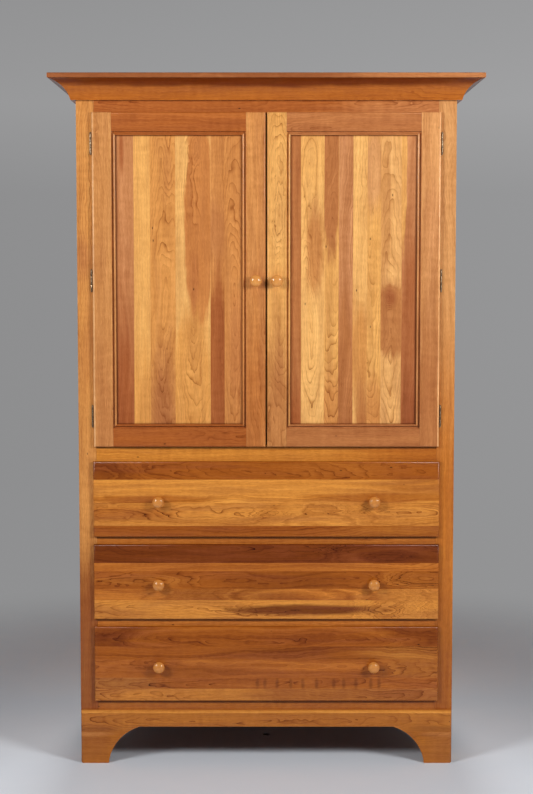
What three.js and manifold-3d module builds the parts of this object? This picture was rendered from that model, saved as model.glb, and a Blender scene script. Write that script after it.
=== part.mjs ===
// A tall cherry cabinet for a television: two framed doors over three drawers, with a cove crown
// under a thin cap and an arched plinth. Millimetres, +Z up. Widths run along X and depths along Y,
// with the front facing -Y. The origin is on the floor, under the middle of the whole outline.
// Inside the group, Y = 0 is the front of the face frame.

import * as THREE from 'three';
import { mergeVertices } from 'three/addons/utils/BufferGeometryUtils.js';
import Module from 'manifold-3d';

// Clearances
const fit = 0.3;
const runningGap = 0.5;
const cutOverrun = 5;
const mergeDistance = 0.0001;

// Heights of what the front shows, from the floor up
const plinthHeight = 147;
const plinthReveal = 27;
const frontHeight = 209;
const drawerReveal = 20.5;
const middleReveal = 40;
const doorHeight = 908.5;
const topReveal = 31.5;
const crownHeight = 54;
const capThickness = 13.5;

// Case and face frame
const caseWidth = 1030;
const caseDepth = 610;
const sideThickness = 19;
const frameThickness = 19;
const stileWidth = 48;
const housingDepth = 6;
const tongueThickness = 10;
const rabbetWidth = 10;
const backThickness = 6;

// How the doors and drawer fronts meet the frame: a rabbet round the back of each leaves a thin lip
// that laps the frame, and the rest goes into the opening
const overlay = 5;
const lipThickness = 9.5;
const lipWidth = 9.5;

// Cap and crown
const capOverhang = 69;
const capEase = 2.5;
const crownFoot = 13;
const crownSetback = 2;
const crownSweep = 64 * Math.PI / 180;

// Plinth and the arches under the case
const plinthThickness = 16;
const plinthInset = 1.7;
const plinthRound = 4;
const footWidth = 77.6;
const footChamfer = 2.5;
const archRun = 82.5;
const archHeight = 101.3;
const archStep = 1.6;
const archRadius = 120;

// Boards inside the case
const deckThickness = 19;
const dustThickness = 16;
const guideHeight = 20;
const guideLap = 1;
const shelfThickness = 19;
const shelfSetback = 40;
const componentHeight = 195;
const rearRailThickness = 19;
const portWidth = 160;
const portHeight = 64;
const portRise = 72;
const portAside = 220;

// Doors
const doorThickness = 19;
const doorGap = 4;
const frontEase = 3.5;
const doorStileFlat = 53;
const doorRailFlat = 52;
const quirkWidth = 3.2;
const quirkDepth = 5.5;
const beadRadius = 3.4;
const beadDrop = 1.5;
const beadLap = 10;
const panelDepth = 9.5;
const panelThickness = 6;
const grooveDepth = 8;
const hingeInset = 84;

// Hinges
const barrelRadius = 3;
const barrelLength = 54;
const knuckleShares = [0.27, 0.46, 0.27];
const pinRadius = 1.5;
const pinClearance = 0.12;
const tipRadius = 2.6;
const tipSink = 1;
const leafThickness = 1.2;
const doorLeafWidth = 24;
const wrapDepth = 16;

// Drawers
const frontThickness = 19;
const boxThickness = 12.7;
const boxHeight = 185;
const boxLength = 545;
const boxSideGap = 2;
const bottomThickness = 6;
const bottomRise = 10;
const bottomGroove = 6;
const drawerOverlay = 8;
const knobInset = 179;
const knobDrop = 6;

// Knobs
const knobRadius = 16;
const knobLength = 29;
const knobRimRise = 18.5;
const knobFootRadius = 9.5;
const knobNeckRadius = 7.5;
const knobNeckRise = 6;
const tenonRadius = 4.75;
const tenonLength = 12;

// How finely the round things are cut
const arcSteps = 8;
const easeSteps = 3;
const beadSteps = 6;
const barrelSides = 12;
const knobSides = 16;
const knobSteps = 5;

// Places that follow from the sizes above
const halfWidth = caseWidth / 2;
const drawerNames = ['lower', 'middle', 'upper'];
const drawerLows = drawerNames.map((name, i) => (
  plinthHeight + plinthReveal + i * (frontHeight + drawerReveal)
));
const doorLow = drawerLows[drawerLows.length - 1] + frontHeight + middleReveal;
const caseTop = doorLow + doorHeight + topReveal + crownHeight;
const crownLow = caseTop - crownHeight;
const openingHalf = halfWidth - stileWidth;
const frontHalf = openingHalf + overlay;
const insideHalf = halfWidth - sideThickness;
const frameBack = frameThickness + fit;
const boardBack = caseDepth - backThickness - fit;
const archTop = archHeight + archStep;
const boardTops = drawerLows.map((low) => low + overlay);
const deckTop = doorLow + overlay;
const shelfTop = deckTop + componentHeight + shelfThickness;
const doorWidth = frontHalf - doorGap / 2;
const doorStandoff = 3 * fit + 2 * leafThickness;
const doorFront = -(doorStandoff + lipThickness);
const hingeAxisX = frontHalf + barrelRadius + runningGap;
const hingeAxisY = -(barrelRadius + fit);
const hingeHeights = {
  top: doorLow + doorHeight - hingeInset,
  middle: doorLow + doorHeight / 2,
  bottom: doorLow + hingeInset,
};
const grooveWidth = panelThickness + 2 * fit;
const mitreRelief = fit / Math.SQRT2;

const wasm = await Module();
wasm.setup();

const materials = {
  cherry: new THREE.MeshStandardMaterial({ color: '#b8713a', roughness: 0.42, metalness: 0 }),
  paleCherry: new THREE.MeshStandardMaterial({ color: '#cf9450', roughness: 0.42, metalness: 0 }),
  redCherry: new THREE.MeshStandardMaterial({ color: '#96502a', roughness: 0.42, metalness: 0 }),
  boxWood: new THREE.MeshStandardMaterial({ color: '#d8bf93', roughness: 0.5, metalness: 0 }),
  plywood: new THREE.MeshStandardMaterial({ color: '#c89a63', roughness: 0.6, metalness: 0 }),
  knobWood: new THREE.MeshStandardMaterial({ color: '#cc8a46', roughness: 0.3, metalness: 0 }),
  hingeBronze: new THREE.MeshStandardMaterial({ color: '#8d7658', roughness: 0.4, metalness: 0.9 }),
};

// A copy of a geometry with only its positions, and its shared corners merged.
function merged(geometry) {
  const bare = geometry.clone();
  bare.deleteAttribute('normal');
  bare.deleteAttribute('uv');
  return mergeVertices(bare, mergeDistance);
}

function solidOf(geometry) {
  const bare = merged(geometry);
  const vertProperties = new Float32Array(bare.getAttribute('position').array);
  const triVerts = new Uint32Array(bare.getIndex().array);
  return new wasm.Manifold(new wasm.Mesh({ numProp: 3, vertProperties, triVerts }));
}

function geometryOf(solid) {
  const { vertProperties, triVerts } = solid.getMesh();
  const indexed = new THREE.BufferGeometry();
  indexed.setAttribute('position', new THREE.BufferAttribute(new Float32Array(vertProperties), 3));
  indexed.setIndex(new THREE.BufferAttribute(new Uint32Array(triVerts), 1));
  const geometry = indexed.toNonIndexed();
  geometry.computeVertexNormals();
  return geometry;
}

function joined(...geometries) {
  return geometryOf(geometries.map(solidOf).reduce((whole, piece) => whole.add(piece)));
}

function cut(geometry, ...cutters) {
  return geometryOf(cutters.map(solidOf).reduce((rest, cutter) => rest.subtract(cutter), solidOf(geometry)));
}

function shared(geometry, other) {
  return geometryOf(solidOf(geometry).intersect(solidOf(other)));
}

// Turns a closed mesh right side out: its signed volume is the sum of a . (b x c) over the triangles.
function facingOut(geometry) {
  const loose = geometry.getIndex() ? geometry.toNonIndexed() : geometry;
  const position = loose.getAttribute('position');
  const corners = [new THREE.Vector3(), new THREE.Vector3(), new THREE.Vector3()];
  const readCorners = (first) => {
    corners.forEach((corner, i) => corner.fromBufferAttribute(position, first + i));
  };
  let volume = 0;
  for (let first = 0; first < position.count; first += 3) {
    readCorners(first);
    volume += corners[0].dot(corners[1].clone().cross(corners[2]));
  }
  if (volume < 0) {
    for (let first = 0; first < position.count; first += 3) {
      readCorners(first);
      position.setXYZ(first + 1, ...corners[2].toArray());
      position.setXYZ(first + 2, ...corners[1].toArray());
    }
  }
  loose.computeVertexNormals();
  return loose;
}

function mirrored(geometry) {
  return facingOut(geometry.clone().scale(-1, 1, 1));
}

function block([x0, y0, z0], [x1, y1, z1]) {
  const geometry = new THREE.BoxGeometry(x1 - x0, y1 - y0, z1 - z0);
  return geometry.translate((x0 + x1) / 2, (y0 + y1) / 2, (z0 + z1) / 2);
}

// A bar with the given cross-section. place(a, b, end) says where section point (a, b) lies at the
// bar's first end (end = 0) and at its last (end = 1), so the ends can be square or mitred.
function bar(outline, place) {
  const shape = new THREE.Shape(outline.map(([a, b]) => new THREE.Vector2(a, b)));
  const geometry = new THREE.ExtrudeGeometry(shape, { depth: 1, bevelEnabled: false });
  const position = geometry.getAttribute('position');
  for (let i = 0; i < position.count; i += 1) {
    position.setXYZ(i, ...place(position.getX(i), position.getY(i), position.getZ(i)));
  }
  return facingOut(geometry);
}

// Points of an arc from one point to another that bulges to the left of the way it goes.
function arcPoints([x0, y0], [x1, y1], sweep, steps = arcSteps) {
  const chord = Math.hypot(x1 - x0, y1 - y0);
  const radius = chord / (2 * Math.sin(sweep / 2));
  const heading = Math.atan2(y1 - y0, x1 - x0);
  const first = heading + Math.PI / 2 + sweep / 2;
  const centre = [x0 - radius * Math.cos(first), y0 - radius * Math.sin(first)];
  return Array.from({ length: steps + 1 }, (unused, i) => {
    const angle = first - sweep * i / steps;
    return [centre[0] + radius * Math.cos(angle), centre[1] + radius * Math.sin(angle)];
  });
}

// A board lying in X and Z, square at its back (y = 0) and eased round the edges of its front.
function easedBoard(width, height, thickness, ease) {
  const face = new THREE.Shape([
    new THREE.Vector2(0, 0), new THREE.Vector2(width, 0),
    new THREE.Vector2(width, height), new THREE.Vector2(0, height),
  ]);
  const geometry = new THREE.ExtrudeGeometry(face, {
    depth: thickness - ease,
    bevelThickness: ease,
    bevelSize: ease,
    bevelOffset: -ease,
    bevelSegments: easeSteps,
  });
  geometry.rotateX(Math.PI / 2);
  return shared(geometry, block([-cutOverrun, -thickness - cutOverrun, -cutOverrun],
    [width + cutOverrun, 0, height + cutOverrun]));
}

// A front with its face at y = 0, cut away behind its lip outside the given corners (x, z).
function lipped(front, [x0, z0], [x1, z1]) {
  const behind = block([-caseWidth, lipThickness, -caseTop], [caseWidth, caseDepth, caseTop]);
  return cut(front, cut(behind, block([x0, 0, z0], [x1, caseDepth + cutOverrun, z1])));
}

// What a round-over bit takes off an edge: the corner between two faces less a quarter circle.
function roundOverOutline(radius) {
  const outline = [[-cutOverrun, -cutOverrun], [radius, -cutOverrun], [radius, 0]];
  for (let i = 1; i < easeSteps; i += 1) {
    const angle = i / easeSteps * Math.PI / 2;
    outline.push([radius - radius * Math.sin(angle), radius - radius * Math.cos(angle)]);
  }
  outline.push([0, radius], [-cutOverrun, radius]);
  return outline;
}

function add(parent, name, geometry, material) {
  const mesh = new THREE.Mesh(geometry, material.clone());
  mesh.name = name;
  parent.add(mesh);
}

// The half of an arched outline from the floor to the crown of the arch: the foot's inner edge
// curves up and in to a small sawn step, where the straight top begins.
const archSweep = 2 * Math.asin(Math.hypot(archRun, archHeight) / (2 * archRadius));
function archCurve(footEdge) {
  const curve = arcPoints([footEdge, 0], [footEdge + archRun, archHeight], archSweep);
  return [...curve, [footEdge + archRun, archTop]];
}

// A board outline in which both feet and the arch between them are cut from the lower edge.
function archedOutline(low, high, leftFoot, rightFoot, top) {
  const left = archCurve(leftFoot);
  const right = archCurve(-rightFoot).map(([a, b]) => [-a, b]).reverse();
  return [[low, 0], ...left, ...right, [high, 0], [high, top], [low, top]];
}

// One side of the case: arched feet below, housings for the boards and a rabbet for the back.
function sidePanel() {
  const outline = archedOutline(frameBack, caseDepth, footWidth, caseDepth - footWidth, caseTop - fit);
  const panel = bar(outline, (y, z, end) => [-halfWidth + end * sideThickness, y, z]);
  const housings = [
    ...boardTops.map((top) => [top - dustThickness, top]),
    ...[deckTop - deckThickness, shelfTop - shelfThickness].map((low) => [low, low + tongueThickness]),
  ].map(([low, high]) => block(
    [-insideHalf - housingDepth, frameThickness - cutOverrun, low - fit],
    [-insideHalf + cutOverrun, caseDepth, high + fit],
  ));
  const rabbet = block(
    [-insideHalf - rabbetWidth, boardBack, archTop - fit],
    [-insideHalf + cutOverrun, caseDepth + cutOverrun, caseTop + cutOverrun],
  );
  return cut(panel, ...housings, rabbet);
}

function capBoard() {
  const halfCap = halfWidth + capOverhang;
  const plan = new THREE.Shape([
    new THREE.Vector2(-halfCap, -capOverhang), new THREE.Vector2(halfCap, -capOverhang),
    new THREE.Vector2(halfCap, caseDepth + cutOverrun), new THREE.Vector2(-halfCap, caseDepth + cutOverrun),
  ]);
  const board = new THREE.ExtrudeGeometry(plan, {
    depth: capThickness - 2 * capEase,
    bevelThickness: capEase,
    bevelSize: capEase,
    bevelOffset: -capEase,
    bevelSegments: easeSteps,
  }).translate(0, 0, caseTop + capEase);
  return shared(board, block([-halfCap - cutOverrun, -capOverhang - cutOverrun, caseTop - cutOverrun],
    [halfCap + cutOverrun, caseDepth, caseTop + capThickness + cutOverrun]));
}

// The crown's section: how far a point stands out from the case, and its height. The cove's arc
// leaves the foot nearly upright and meets the cap nearly flat.
function crownOutline() {
  const cove = arcPoints([crownFoot, crownLow], [capOverhang - crownSetback, caseTop - fit], crownSweep);
  return [[fit, crownLow], ...cove, [fit, caseTop - fit]];
}

function crownFront() {
  return bar(crownOutline(), (out, z, end) => {
    const reach = halfWidth + out - mitreRelief;
    return [(2 * end - 1) * reach, -out, z];
  });
}

function crownSide() {
  return bar(crownOutline(), (out, z, end) => (
    [-halfWidth - out, end ? caseDepth : mitreRelief - out, z]
  ));
}

function plinthBoard() {
  const half = halfWidth - plinthInset;
  const foot = halfWidth - footWidth;
  const outline = archedOutline(-half, half, -foot, foot, plinthHeight);
  outline[0] = [-half + footChamfer, 0];
  outline.splice(outline.length - 3, 1, [half - footChamfer, 0], [half, footChamfer]);
  outline.push([-half, footChamfer]);
  const front = -fit - plinthThickness;
  const board = bar(outline, (x, z, end) => [x, front + end * plinthThickness, z]);
  const round = roundOverOutline(plinthRound);
  const topCutter = bar(round, (a, b, end) => (
    [(2 * end - 1) * (half + cutOverrun), front + a, plinthHeight - b]
  ));
  const endCutter = bar(round, (a, b, end) => (
    [-half + a, front + b, -cutOverrun + end * (plinthHeight + 2 * cutOverrun)]
  ));
  return cut(board, topCutter, endCutter, mirrored(endCutter));
}

// A board across the case between the housings, with a guide strip along each end for a drawer.
function guidedBoard(top) {
  const reach = insideHalf + housingDepth - fit;
  const board = block([-reach, frameBack, top - dustThickness], [reach, boardBack - fit, top]);
  const guide = block([-insideHalf + fit, frameBack, top - guideLap],
    [-openingHalf, boardBack - fit, top + guideHeight]);
  return joined(board, guide, mirrored(guide));
}

// A board across the case whose top reaches from side to side, with a tongue along the bottom of
// each end for its housing.
function tonguedBoard(top, thickness, front) {
  const half = insideHalf - fit;
  const reach = half + housingDepth;
  const low = top - thickness;
  const board = block([-half, front, low], [half, boardBack - fit, top]);
  const tongues = block([-reach, front, low], [reach, boardBack - fit, low + tongueThickness]);
  return joined(board, tongues);
}

// The back, with a long round-ended cable port above the deck and another above the shelf.
function backPanel() {
  const reach = insideHalf + rabbetWidth - fit;
  const panel = new THREE.Shape([
    new THREE.Vector2(-reach, archTop), new THREE.Vector2(reach, archTop),
    new THREE.Vector2(reach, caseTop - fit), new THREE.Vector2(-reach, caseTop - fit),
  ]);
  const endRadius = portHeight / 2;
  const straight = portWidth / 2 - endRadius;
  panel.holes = [deckTop, shelfTop].map((floor) => {
    const port = new THREE.Path();
    port.absarc(portAside + straight, floor + portRise, endRadius, -Math.PI / 2, Math.PI / 2, false);
    port.absarc(portAside - straight, floor + portRise, endRadius, Math.PI / 2, 3 * Math.PI / 2, false);
    port.closePath();
    return port;
  });
  const geometry = new THREE.ExtrudeGeometry(panel, {
    depth: backThickness,
    bevelEnabled: false,
    curveSegments: arcSteps,
  });
  return geometry.rotateX(Math.PI / 2).translate(0, caseDepth, 0);
}

function railBlock(low, high) {
  return block([-openingHalf + fit, 0, low], [openingHalf - fit, frameThickness, high]);
}

// The moulded inner edge of a door member, from its flat face down to the panel: a quirk, a
// half-round bead and the groove that holds the panel. The first number runs in from the member's
// outer edge and the second back from its face.
function stickingOutline(flat) {
  const beadMiddle = flat + quirkWidth + beadRadius;
  const inner = beadMiddle + beadRadius;
  const bead = arcPoints([flat + quirkWidth, beadDrop + beadRadius], [inner, beadDrop + beadRadius],
    -Math.PI, beadSteps);
  return [
    [flat - beadLap, 0], [flat, 0], [flat, quirkDepth], [flat + quirkWidth, quirkDepth],
    ...bead,
    [inner, panelDepth], [inner - grooveDepth, panelDepth],
    [inner - grooveDepth, panelDepth + grooveWidth], [inner, panelDepth + grooveWidth],
    [inner, doorThickness], [flat - beadLap, doorThickness],
  ];
}
const stickingWidth = quirkWidth + 2 * beadRadius;

// Door members in the door's own frame: x in from the hinge edge, y back from the face, z up. The
// meeting edge has no lip, because no frame stands behind it.
function doorOutline() {
  const board = easedBoard(doorWidth, doorHeight, doorThickness, frontEase).translate(0, doorThickness, 0);
  return lipped(board, [lipWidth, lipWidth], [doorWidth + cutOverrun, doorHeight - lipWidth]);
}

function doorStile(fromMeetingEdge) {
  const across = (s) => (fromMeetingEdge ? doorWidth - s : s);
  const flat = block([Math.min(across(0), across(doorStileFlat)), 0, 0],
    [Math.max(across(0), across(doorStileFlat)), doorThickness, doorHeight]);
  const bead = bar(stickingOutline(doorStileFlat), (s, y, end) => {
    const rise = doorRailFlat + s - doorStileFlat;
    return [across(s), y, end ? doorHeight - rise : rise];
  });
  return shared(joined(flat, bead), doorOutline());
}

function doorRail(fromTop) {
  const up = (s) => (fromTop ? doorHeight - s : s);
  const end0 = doorStileFlat + fit;
  const end1 = doorWidth - doorStileFlat - fit;
  const flat = block([end0, 0, Math.min(up(0), up(doorRailFlat))],
    [end1, doorThickness, Math.max(up(0), up(doorRailFlat))]);
  const bead = bar(stickingOutline(doorRailFlat), (s, y, end) => {
    const inset = s - doorRailFlat;
    return [end ? end1 - inset : end0 + inset, y, up(s)];
  });
  const length = block([end0, -cutOverrun, -cutOverrun],
    [end1, doorThickness + cutOverrun, doorHeight + cutOverrun]);
  return shared(shared(joined(flat, bead), length), doorOutline());
}

function doorPanel() {
  const side = doorStileFlat + stickingWidth - grooveDepth + fit;
  const end = doorRailFlat + stickingWidth - grooveDepth + fit;
  return block([side, panelDepth + fit, end],
    [doorWidth - side, panelDepth + fit + panelThickness, doorHeight - end]);
}

// The hole that takes a knob's tenon, from the face back.
function knobBore(x, z) {
  const radius = (tenonRadius + fit) / Math.cos(Math.PI / knobSides);
  const length = tenonLength + fit + cutOverrun;
  return new THREE.CylinderGeometry(radius, radius, length, knobSides)
    .translate(0, length / 2 - cutOverrun, 0)
    .translate(x, 0, z);
}

// A turned knob on its seat at y = 0, standing out along -Y, with its tenon behind the seat.
function knob() {
  const neck = new THREE.SplineCurve([
    new THREE.Vector2(knobFootRadius, fit),
    new THREE.Vector2(knobNeckRadius, knobNeckRise),
    new THREE.Vector2((knobNeckRadius + knobRadius) / 2, (knobNeckRise + knobRimRise) / 2),
    new THREE.Vector2(knobRadius, knobRimRise),
  ]).getPoints(knobSteps);
  const crown = [];
  for (let i = 1; i < knobSteps; i += 1) {
    const angle = i / knobSteps * Math.PI / 2;
    crown.push(new THREE.Vector2(knobRadius * Math.cos(angle),
      knobRimRise + (knobLength - knobRimRise) * Math.sin(angle)));
  }
  const profile = [
    new THREE.Vector2(0, -tenonLength),
    new THREE.Vector2(tenonRadius, -tenonLength),
    new THREE.Vector2(tenonRadius, fit),
    ...neck,
    ...crown,
    new THREE.Vector2(0, knobLength),
  ];
  return new THREE.LatheGeometry(profile, knobSides).rotateX(Math.PI);
}

// Hinge parts round the pin's axis, for the left door: x towards the door, y back, z up.
function cylinderAbout(radius, low, high) {
  return new THREE.CylinderGeometry(radius, radius, high - low, barrelSides)
    .rotateX(Math.PI / 2)
    .translate(0, 0, (low + high) / 2);
}

const leafStart = barrelRadius + fit;
const halfBarrel = barrelLength / 2;
const knuckleEnds = [
  -halfBarrel,
  -halfBarrel + knuckleShares[0] * barrelLength,
  halfBarrel - knuckleShares[2] * barrelLength,
  halfBarrel,
];

// A knuckle with the tab that joins it to its leaf, whose near face is at nearY.
function knuckle(low, high, nearY) {
  return joined(cylinderAbout(barrelRadius, low, high),
    block([0, nearY, low], [leafStart + fit, nearY + leafThickness, high]));
}

// The case leaf lies behind the door on the stile's face and wraps round its inner edge. The pin
// and its ball tips are fixed in its two knuckles.
function caseLeaf() {
  const face = -hingeAxisY;
  const plateFront = face - fit - leafThickness;
  const stileEdge = hingeAxisX - openingHalf;
  const plate = block([leafStart, plateFront, -halfBarrel],
    [stileEdge + fit + leafThickness, face - fit, halfBarrel]);
  const wrap = block([stileEdge + fit, plateFront, -halfBarrel],
    [stileEdge + fit + leafThickness, face + wrapDepth, halfBarrel]);
  const pinEnd = halfBarrel + tipRadius;
  const pin = cylinderAbout(pinRadius, -pinEnd, pinEnd);
  const tip = new THREE.SphereGeometry(tipRadius, barrelSides, barrelSides / 2);
  const tipCentre = halfBarrel + tipRadius - tipSink;
  return joined(plate, wrap, pin,
    knuckle(knuckleEnds[0], knuckleEnds[1] - fit, plateFront),
    knuckle(knuckleEnds[2] + fit, knuckleEnds[3], plateFront),
    tip.clone().translate(0, 0, tipCentre), tip.clone().translate(0, 0, -tipCentre));
}

// The door leaf is cranked: it runs behind the lip, back along the rabbet's wall and in along the
// door's back.
function doorLeaf() {
  const lipBack = -doorStandoff - hingeAxisY;
  const doorBack = lipBack + doorThickness - lipThickness;
  const crankEnd = hingeAxisX - frontHalf + lipWidth - fit;
  const crankStart = crankEnd - leafThickness;
  const behindLip = block([leafStart, lipBack + fit, -halfBarrel],
    [crankEnd, lipBack + fit + leafThickness, halfBarrel]);
  const crank = block([crankStart, lipBack + fit, -halfBarrel],
    [crankEnd, doorBack + fit + leafThickness, halfBarrel]);
  const behindDoor = block([crankStart, doorBack + fit, -halfBarrel],
    [crankStart + doorLeafWidth, doorBack + fit + leafThickness, halfBarrel]);
  const hole = cylinderAbout((pinRadius + pinClearance) / Math.cos(Math.PI / barrelSides),
    -barrelLength, barrelLength);
  const middle = knuckle(knuckleEnds[1], knuckleEnds[2], lipBack + fit);
  return cut(joined(behindLip, crank, behindDoor, middle), hole);
}

// The drawer's four walls, with a groove round the inside for its bottom.
function drawerBox() {
  const half = openingHalf - boxSideGap;
  const inner = half - boxThickness;
  const walls = block([-half, 0, 0], [half, boxLength, boxHeight]);
  const hollow = block([-inner, boxThickness, -cutOverrun],
    [inner, boxLength - boxThickness, boxHeight + cutOverrun]);
  const groove = block([-inner - bottomGroove, boxThickness - bottomGroove, bottomRise],
    [inner + bottomGroove, boxLength - boxThickness + bottomGroove, bottomRise + bottomThickness + 2 * fit]);
  return cut(walls, hollow, groove);
}

function drawerBottom() {
  const half = openingHalf - boxSideGap - boxThickness + bottomGroove - fit;
  const end = boxThickness - bottomGroove + fit;
  return block([-half, end, bottomRise + fit], [half, boxLength - end, bottomRise + fit + bottomThickness]);
}

const armoire = new THREE.Group();
armoire.position.y = (capOverhang - caseDepth) / 2;

const carcase = new THREE.Group();
armoire.add(carcase);
const side = sidePanel();
add(carcase, 'side_left', side, materials.cherry);
add(carcase, 'side_right', mirrored(side), materials.cherry);
add(carcase, 'top_cap', capBoard(), materials.redCherry);
const crownReturn = crownSide();
add(carcase, 'crown_front', crownFront(), materials.cherry);
add(carcase, 'crown_left', crownReturn, materials.cherry);
add(carcase, 'crown_right', mirrored(crownReturn), materials.cherry);
const stile = block([-halfWidth, 0, 0], [-openingHalf, frameThickness, caseTop - fit]);
add(carcase, 'stile_left', stile, materials.paleCherry);
add(carcase, 'stile_right', mirrored(stile), materials.paleCherry);
const drawerTops = drawerLows.map((low) => low + frontHeight - overlay);
const frameRails = {
  rail_bottom: [archTop, boardTops[0]],
  rail_lower: [drawerTops[0], boardTops[1]],
  rail_upper: [drawerTops[1], boardTops[2]],
  rail_middle: [drawerTops[2], deckTop],
  rail_top: [doorLow + doorHeight - overlay, caseTop - fit],
};
for (const [name, [low, high]] of Object.entries(frameRails)) {
  add(carcase, name, railBlock(low, high), materials.paleCherry);
}
add(carcase, 'tv_deck', tonguedBoard(deckTop, deckThickness, frameBack), materials.cherry);
const shelf = tonguedBoard(shelfTop, shelfThickness, frameBack + shelfSetback);
add(carcase, 'component_shelf', shelf, materials.cherry);
add(carcase, 'bottom_board', guidedBoard(boardTops[0]), materials.cherry);
add(carcase, 'dust_board_lower', guidedBoard(boardTops[1]), materials.cherry);
add(carcase, 'dust_board_upper', guidedBoard(boardTops[2]), materials.cherry);
add(carcase, 'back_panel', backPanel(), materials.plywood);
const rearRail = block([-insideHalf + fit, boardBack - fit - rearRailThickness, archTop],
  [insideHalf - fit, boardBack - fit, boardTops[0] - dustThickness - fit]);
add(carcase, 'rear_rail', rearRail, materials.cherry);
add(carcase, 'plinth_front', plinthBoard(), materials.cherry);

// Each door is drawn as the left one and mirrored for the right.
const doorKnob = [doorWidth - doorStileFlat / 2, doorHeight / 2];
const doorPieces = {
  hinge_stile: [doorStile(false), materials.cherry],
  meeting_stile: [cut(doorStile(true), knobBore(...doorKnob)), materials.paleCherry],
  top_rail: [doorRail(true), materials.redCherry],
  bottom_rail: [doorRail(false), materials.redCherry],
  panel: [doorPanel(), materials.paleCherry],
  knob: [knob().translate(doorKnob[0], 0, doorKnob[1]), materials.knobWood],
};
const hingePieces = { case_leaf: caseLeaf(), door_leaf: doorLeaf() };
for (const hand of ['left', 'right']) {
  const handed = (geometry) => (hand === 'left' ? geometry : mirrored(geometry));
  const outward = hand === 'left' ? -1 : 1;
  const door = new THREE.Group();
  door.position.set(outward * frontHalf, doorFront, doorLow);
  armoire.add(door);
  for (const [piece, [geometry, material]] of Object.entries(doorPieces)) {
    add(door, `door_${hand}_${piece}`, handed(geometry), material);
  }
  for (const [level, height] of Object.entries(hingeHeights)) {
    const hinge = new THREE.Group();
    hinge.position.set(outward * hingeAxisX, hingeAxisY, height);
    armoire.add(hinge);
    for (const [piece, geometry] of Object.entries(hingePieces)) {
      add(hinge, `hinge_${hand}_${level}_${piece}`, handed(geometry), materials.hingeBronze);
    }
  }
}

const drawerFace = doorFront;
const drawerHalf = openingHalf + drawerOverlay;
const knobRise = frontHeight / 2 - knobDrop;
const knobX = drawerHalf - knobInset;
const drawerBlank = easedBoard(2 * drawerHalf, frontHeight, frontThickness, frontEase)
  .translate(-drawerHalf, frontThickness, 0);
const drawerFront = cut(
  lipped(drawerBlank, [lipWidth - drawerHalf, lipWidth], [drawerHalf - lipWidth, frontHeight - lipWidth]),
  knobBore(-knobX, knobRise),
  knobBore(knobX, knobRise),
);
const frontMaterials = [materials.cherry, materials.redCherry, materials.paleCherry];
drawerNames.forEach((name, i) => {
  const drawer = new THREE.Group();
  drawer.position.set(0, drawerFace, drawerLows[i]);
  armoire.add(drawer);
  add(drawer, `drawer_${name}_front`, drawerFront, frontMaterials[i]);
  add(drawer, `drawer_${name}_knob_left`, knob().translate(-knobX, 0, knobRise), materials.knobWood);
  add(drawer, `drawer_${name}_knob_right`, knob().translate(knobX, 0, knobRise), materials.knobWood);
  const box = new THREE.Group();
  box.position.set(0, frontThickness + fit, overlay + runningGap);
  drawer.add(box);
  add(box, `drawer_${name}_box`, drawerBox(), materials.boxWood);
  add(box, `drawer_${name}_bottom`, drawerBottom(), materials.plywood);
});

export default armoire;
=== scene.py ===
# %% [markdown]
# # A cherry armoire for a television
# Two framed doors over three drawers, under a cove crown, on an arched plinth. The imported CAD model
# gives every size and place. This lesson dresses it: boards with eased edges, turned knobs, hinges
# and a cherry finish whose grain comes from a formula.

import functools
import math

import bpy
import numpy as np
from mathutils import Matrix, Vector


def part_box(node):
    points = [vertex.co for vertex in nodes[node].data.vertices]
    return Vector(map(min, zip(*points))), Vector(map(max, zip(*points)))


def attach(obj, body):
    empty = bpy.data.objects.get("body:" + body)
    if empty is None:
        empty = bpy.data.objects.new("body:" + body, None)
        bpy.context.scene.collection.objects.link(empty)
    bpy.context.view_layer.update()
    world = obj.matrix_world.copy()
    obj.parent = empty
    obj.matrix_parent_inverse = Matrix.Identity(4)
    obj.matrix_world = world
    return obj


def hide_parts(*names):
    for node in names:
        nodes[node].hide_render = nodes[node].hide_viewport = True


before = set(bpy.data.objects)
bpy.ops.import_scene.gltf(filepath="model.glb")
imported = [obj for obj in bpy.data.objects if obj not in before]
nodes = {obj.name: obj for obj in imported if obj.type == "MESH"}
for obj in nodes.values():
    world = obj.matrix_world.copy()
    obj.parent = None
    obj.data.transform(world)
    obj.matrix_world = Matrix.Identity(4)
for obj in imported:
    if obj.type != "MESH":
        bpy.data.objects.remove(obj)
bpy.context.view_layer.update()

# %% [markdown]
# ## Colours and nodes
# A finish is chosen as an sRGB hex colour, and Blender's sockets take linear light. One
# function turns the first into the second. A second function adds a node with its settings and links,
# which keeps a long material readable.

# %% Two helpers for materials
def linear(code):
    """Each channel c of a hex colour becomes ((c + 0.055) / 1.055) ** 2.4, or c / 12.92 where it is small."""
    c = np.array([int(code[i:i + 2], 16) for i in (1, 3, 5)]) / 255
    light = np.where(c <= 0.04045, c / 12.92, ((c + 0.055) / 1.055) ** 2.4)
    return (*light.tolist(), 1.0)


def add_node(tree, kind, inputs=(), **settings):
    """Adds a node with its settings. Its inputs come in a dict by name, or in order in a list or tuple. Each is
    a value, a socket, or a node whose first output is meant."""
    node = tree.nodes.new(kind if kind.startswith("Node") else "ShaderNode" + kind)
    for key, value in settings.items():
        setattr(node, key, value)
    if not isinstance(inputs, dict):
        inputs = dict(enumerate(inputs))
    for key, value in inputs.items():
        if isinstance(value, bpy.types.Node):
            value = value.outputs[0]
        if isinstance(value, bpy.types.NodeSocket):
            tree.links.new(value, node.inputs[key])
        else:
            node.inputs[key].default_value = value
    return node


def empty_material(name):
    """A material without nodes, and the add_node function for its tree."""
    material = bpy.data.materials.new(name)
    material.use_nodes = True
    material.node_tree.nodes.clear()
    return material, functools.partial(add_node, material.node_tree)


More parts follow.
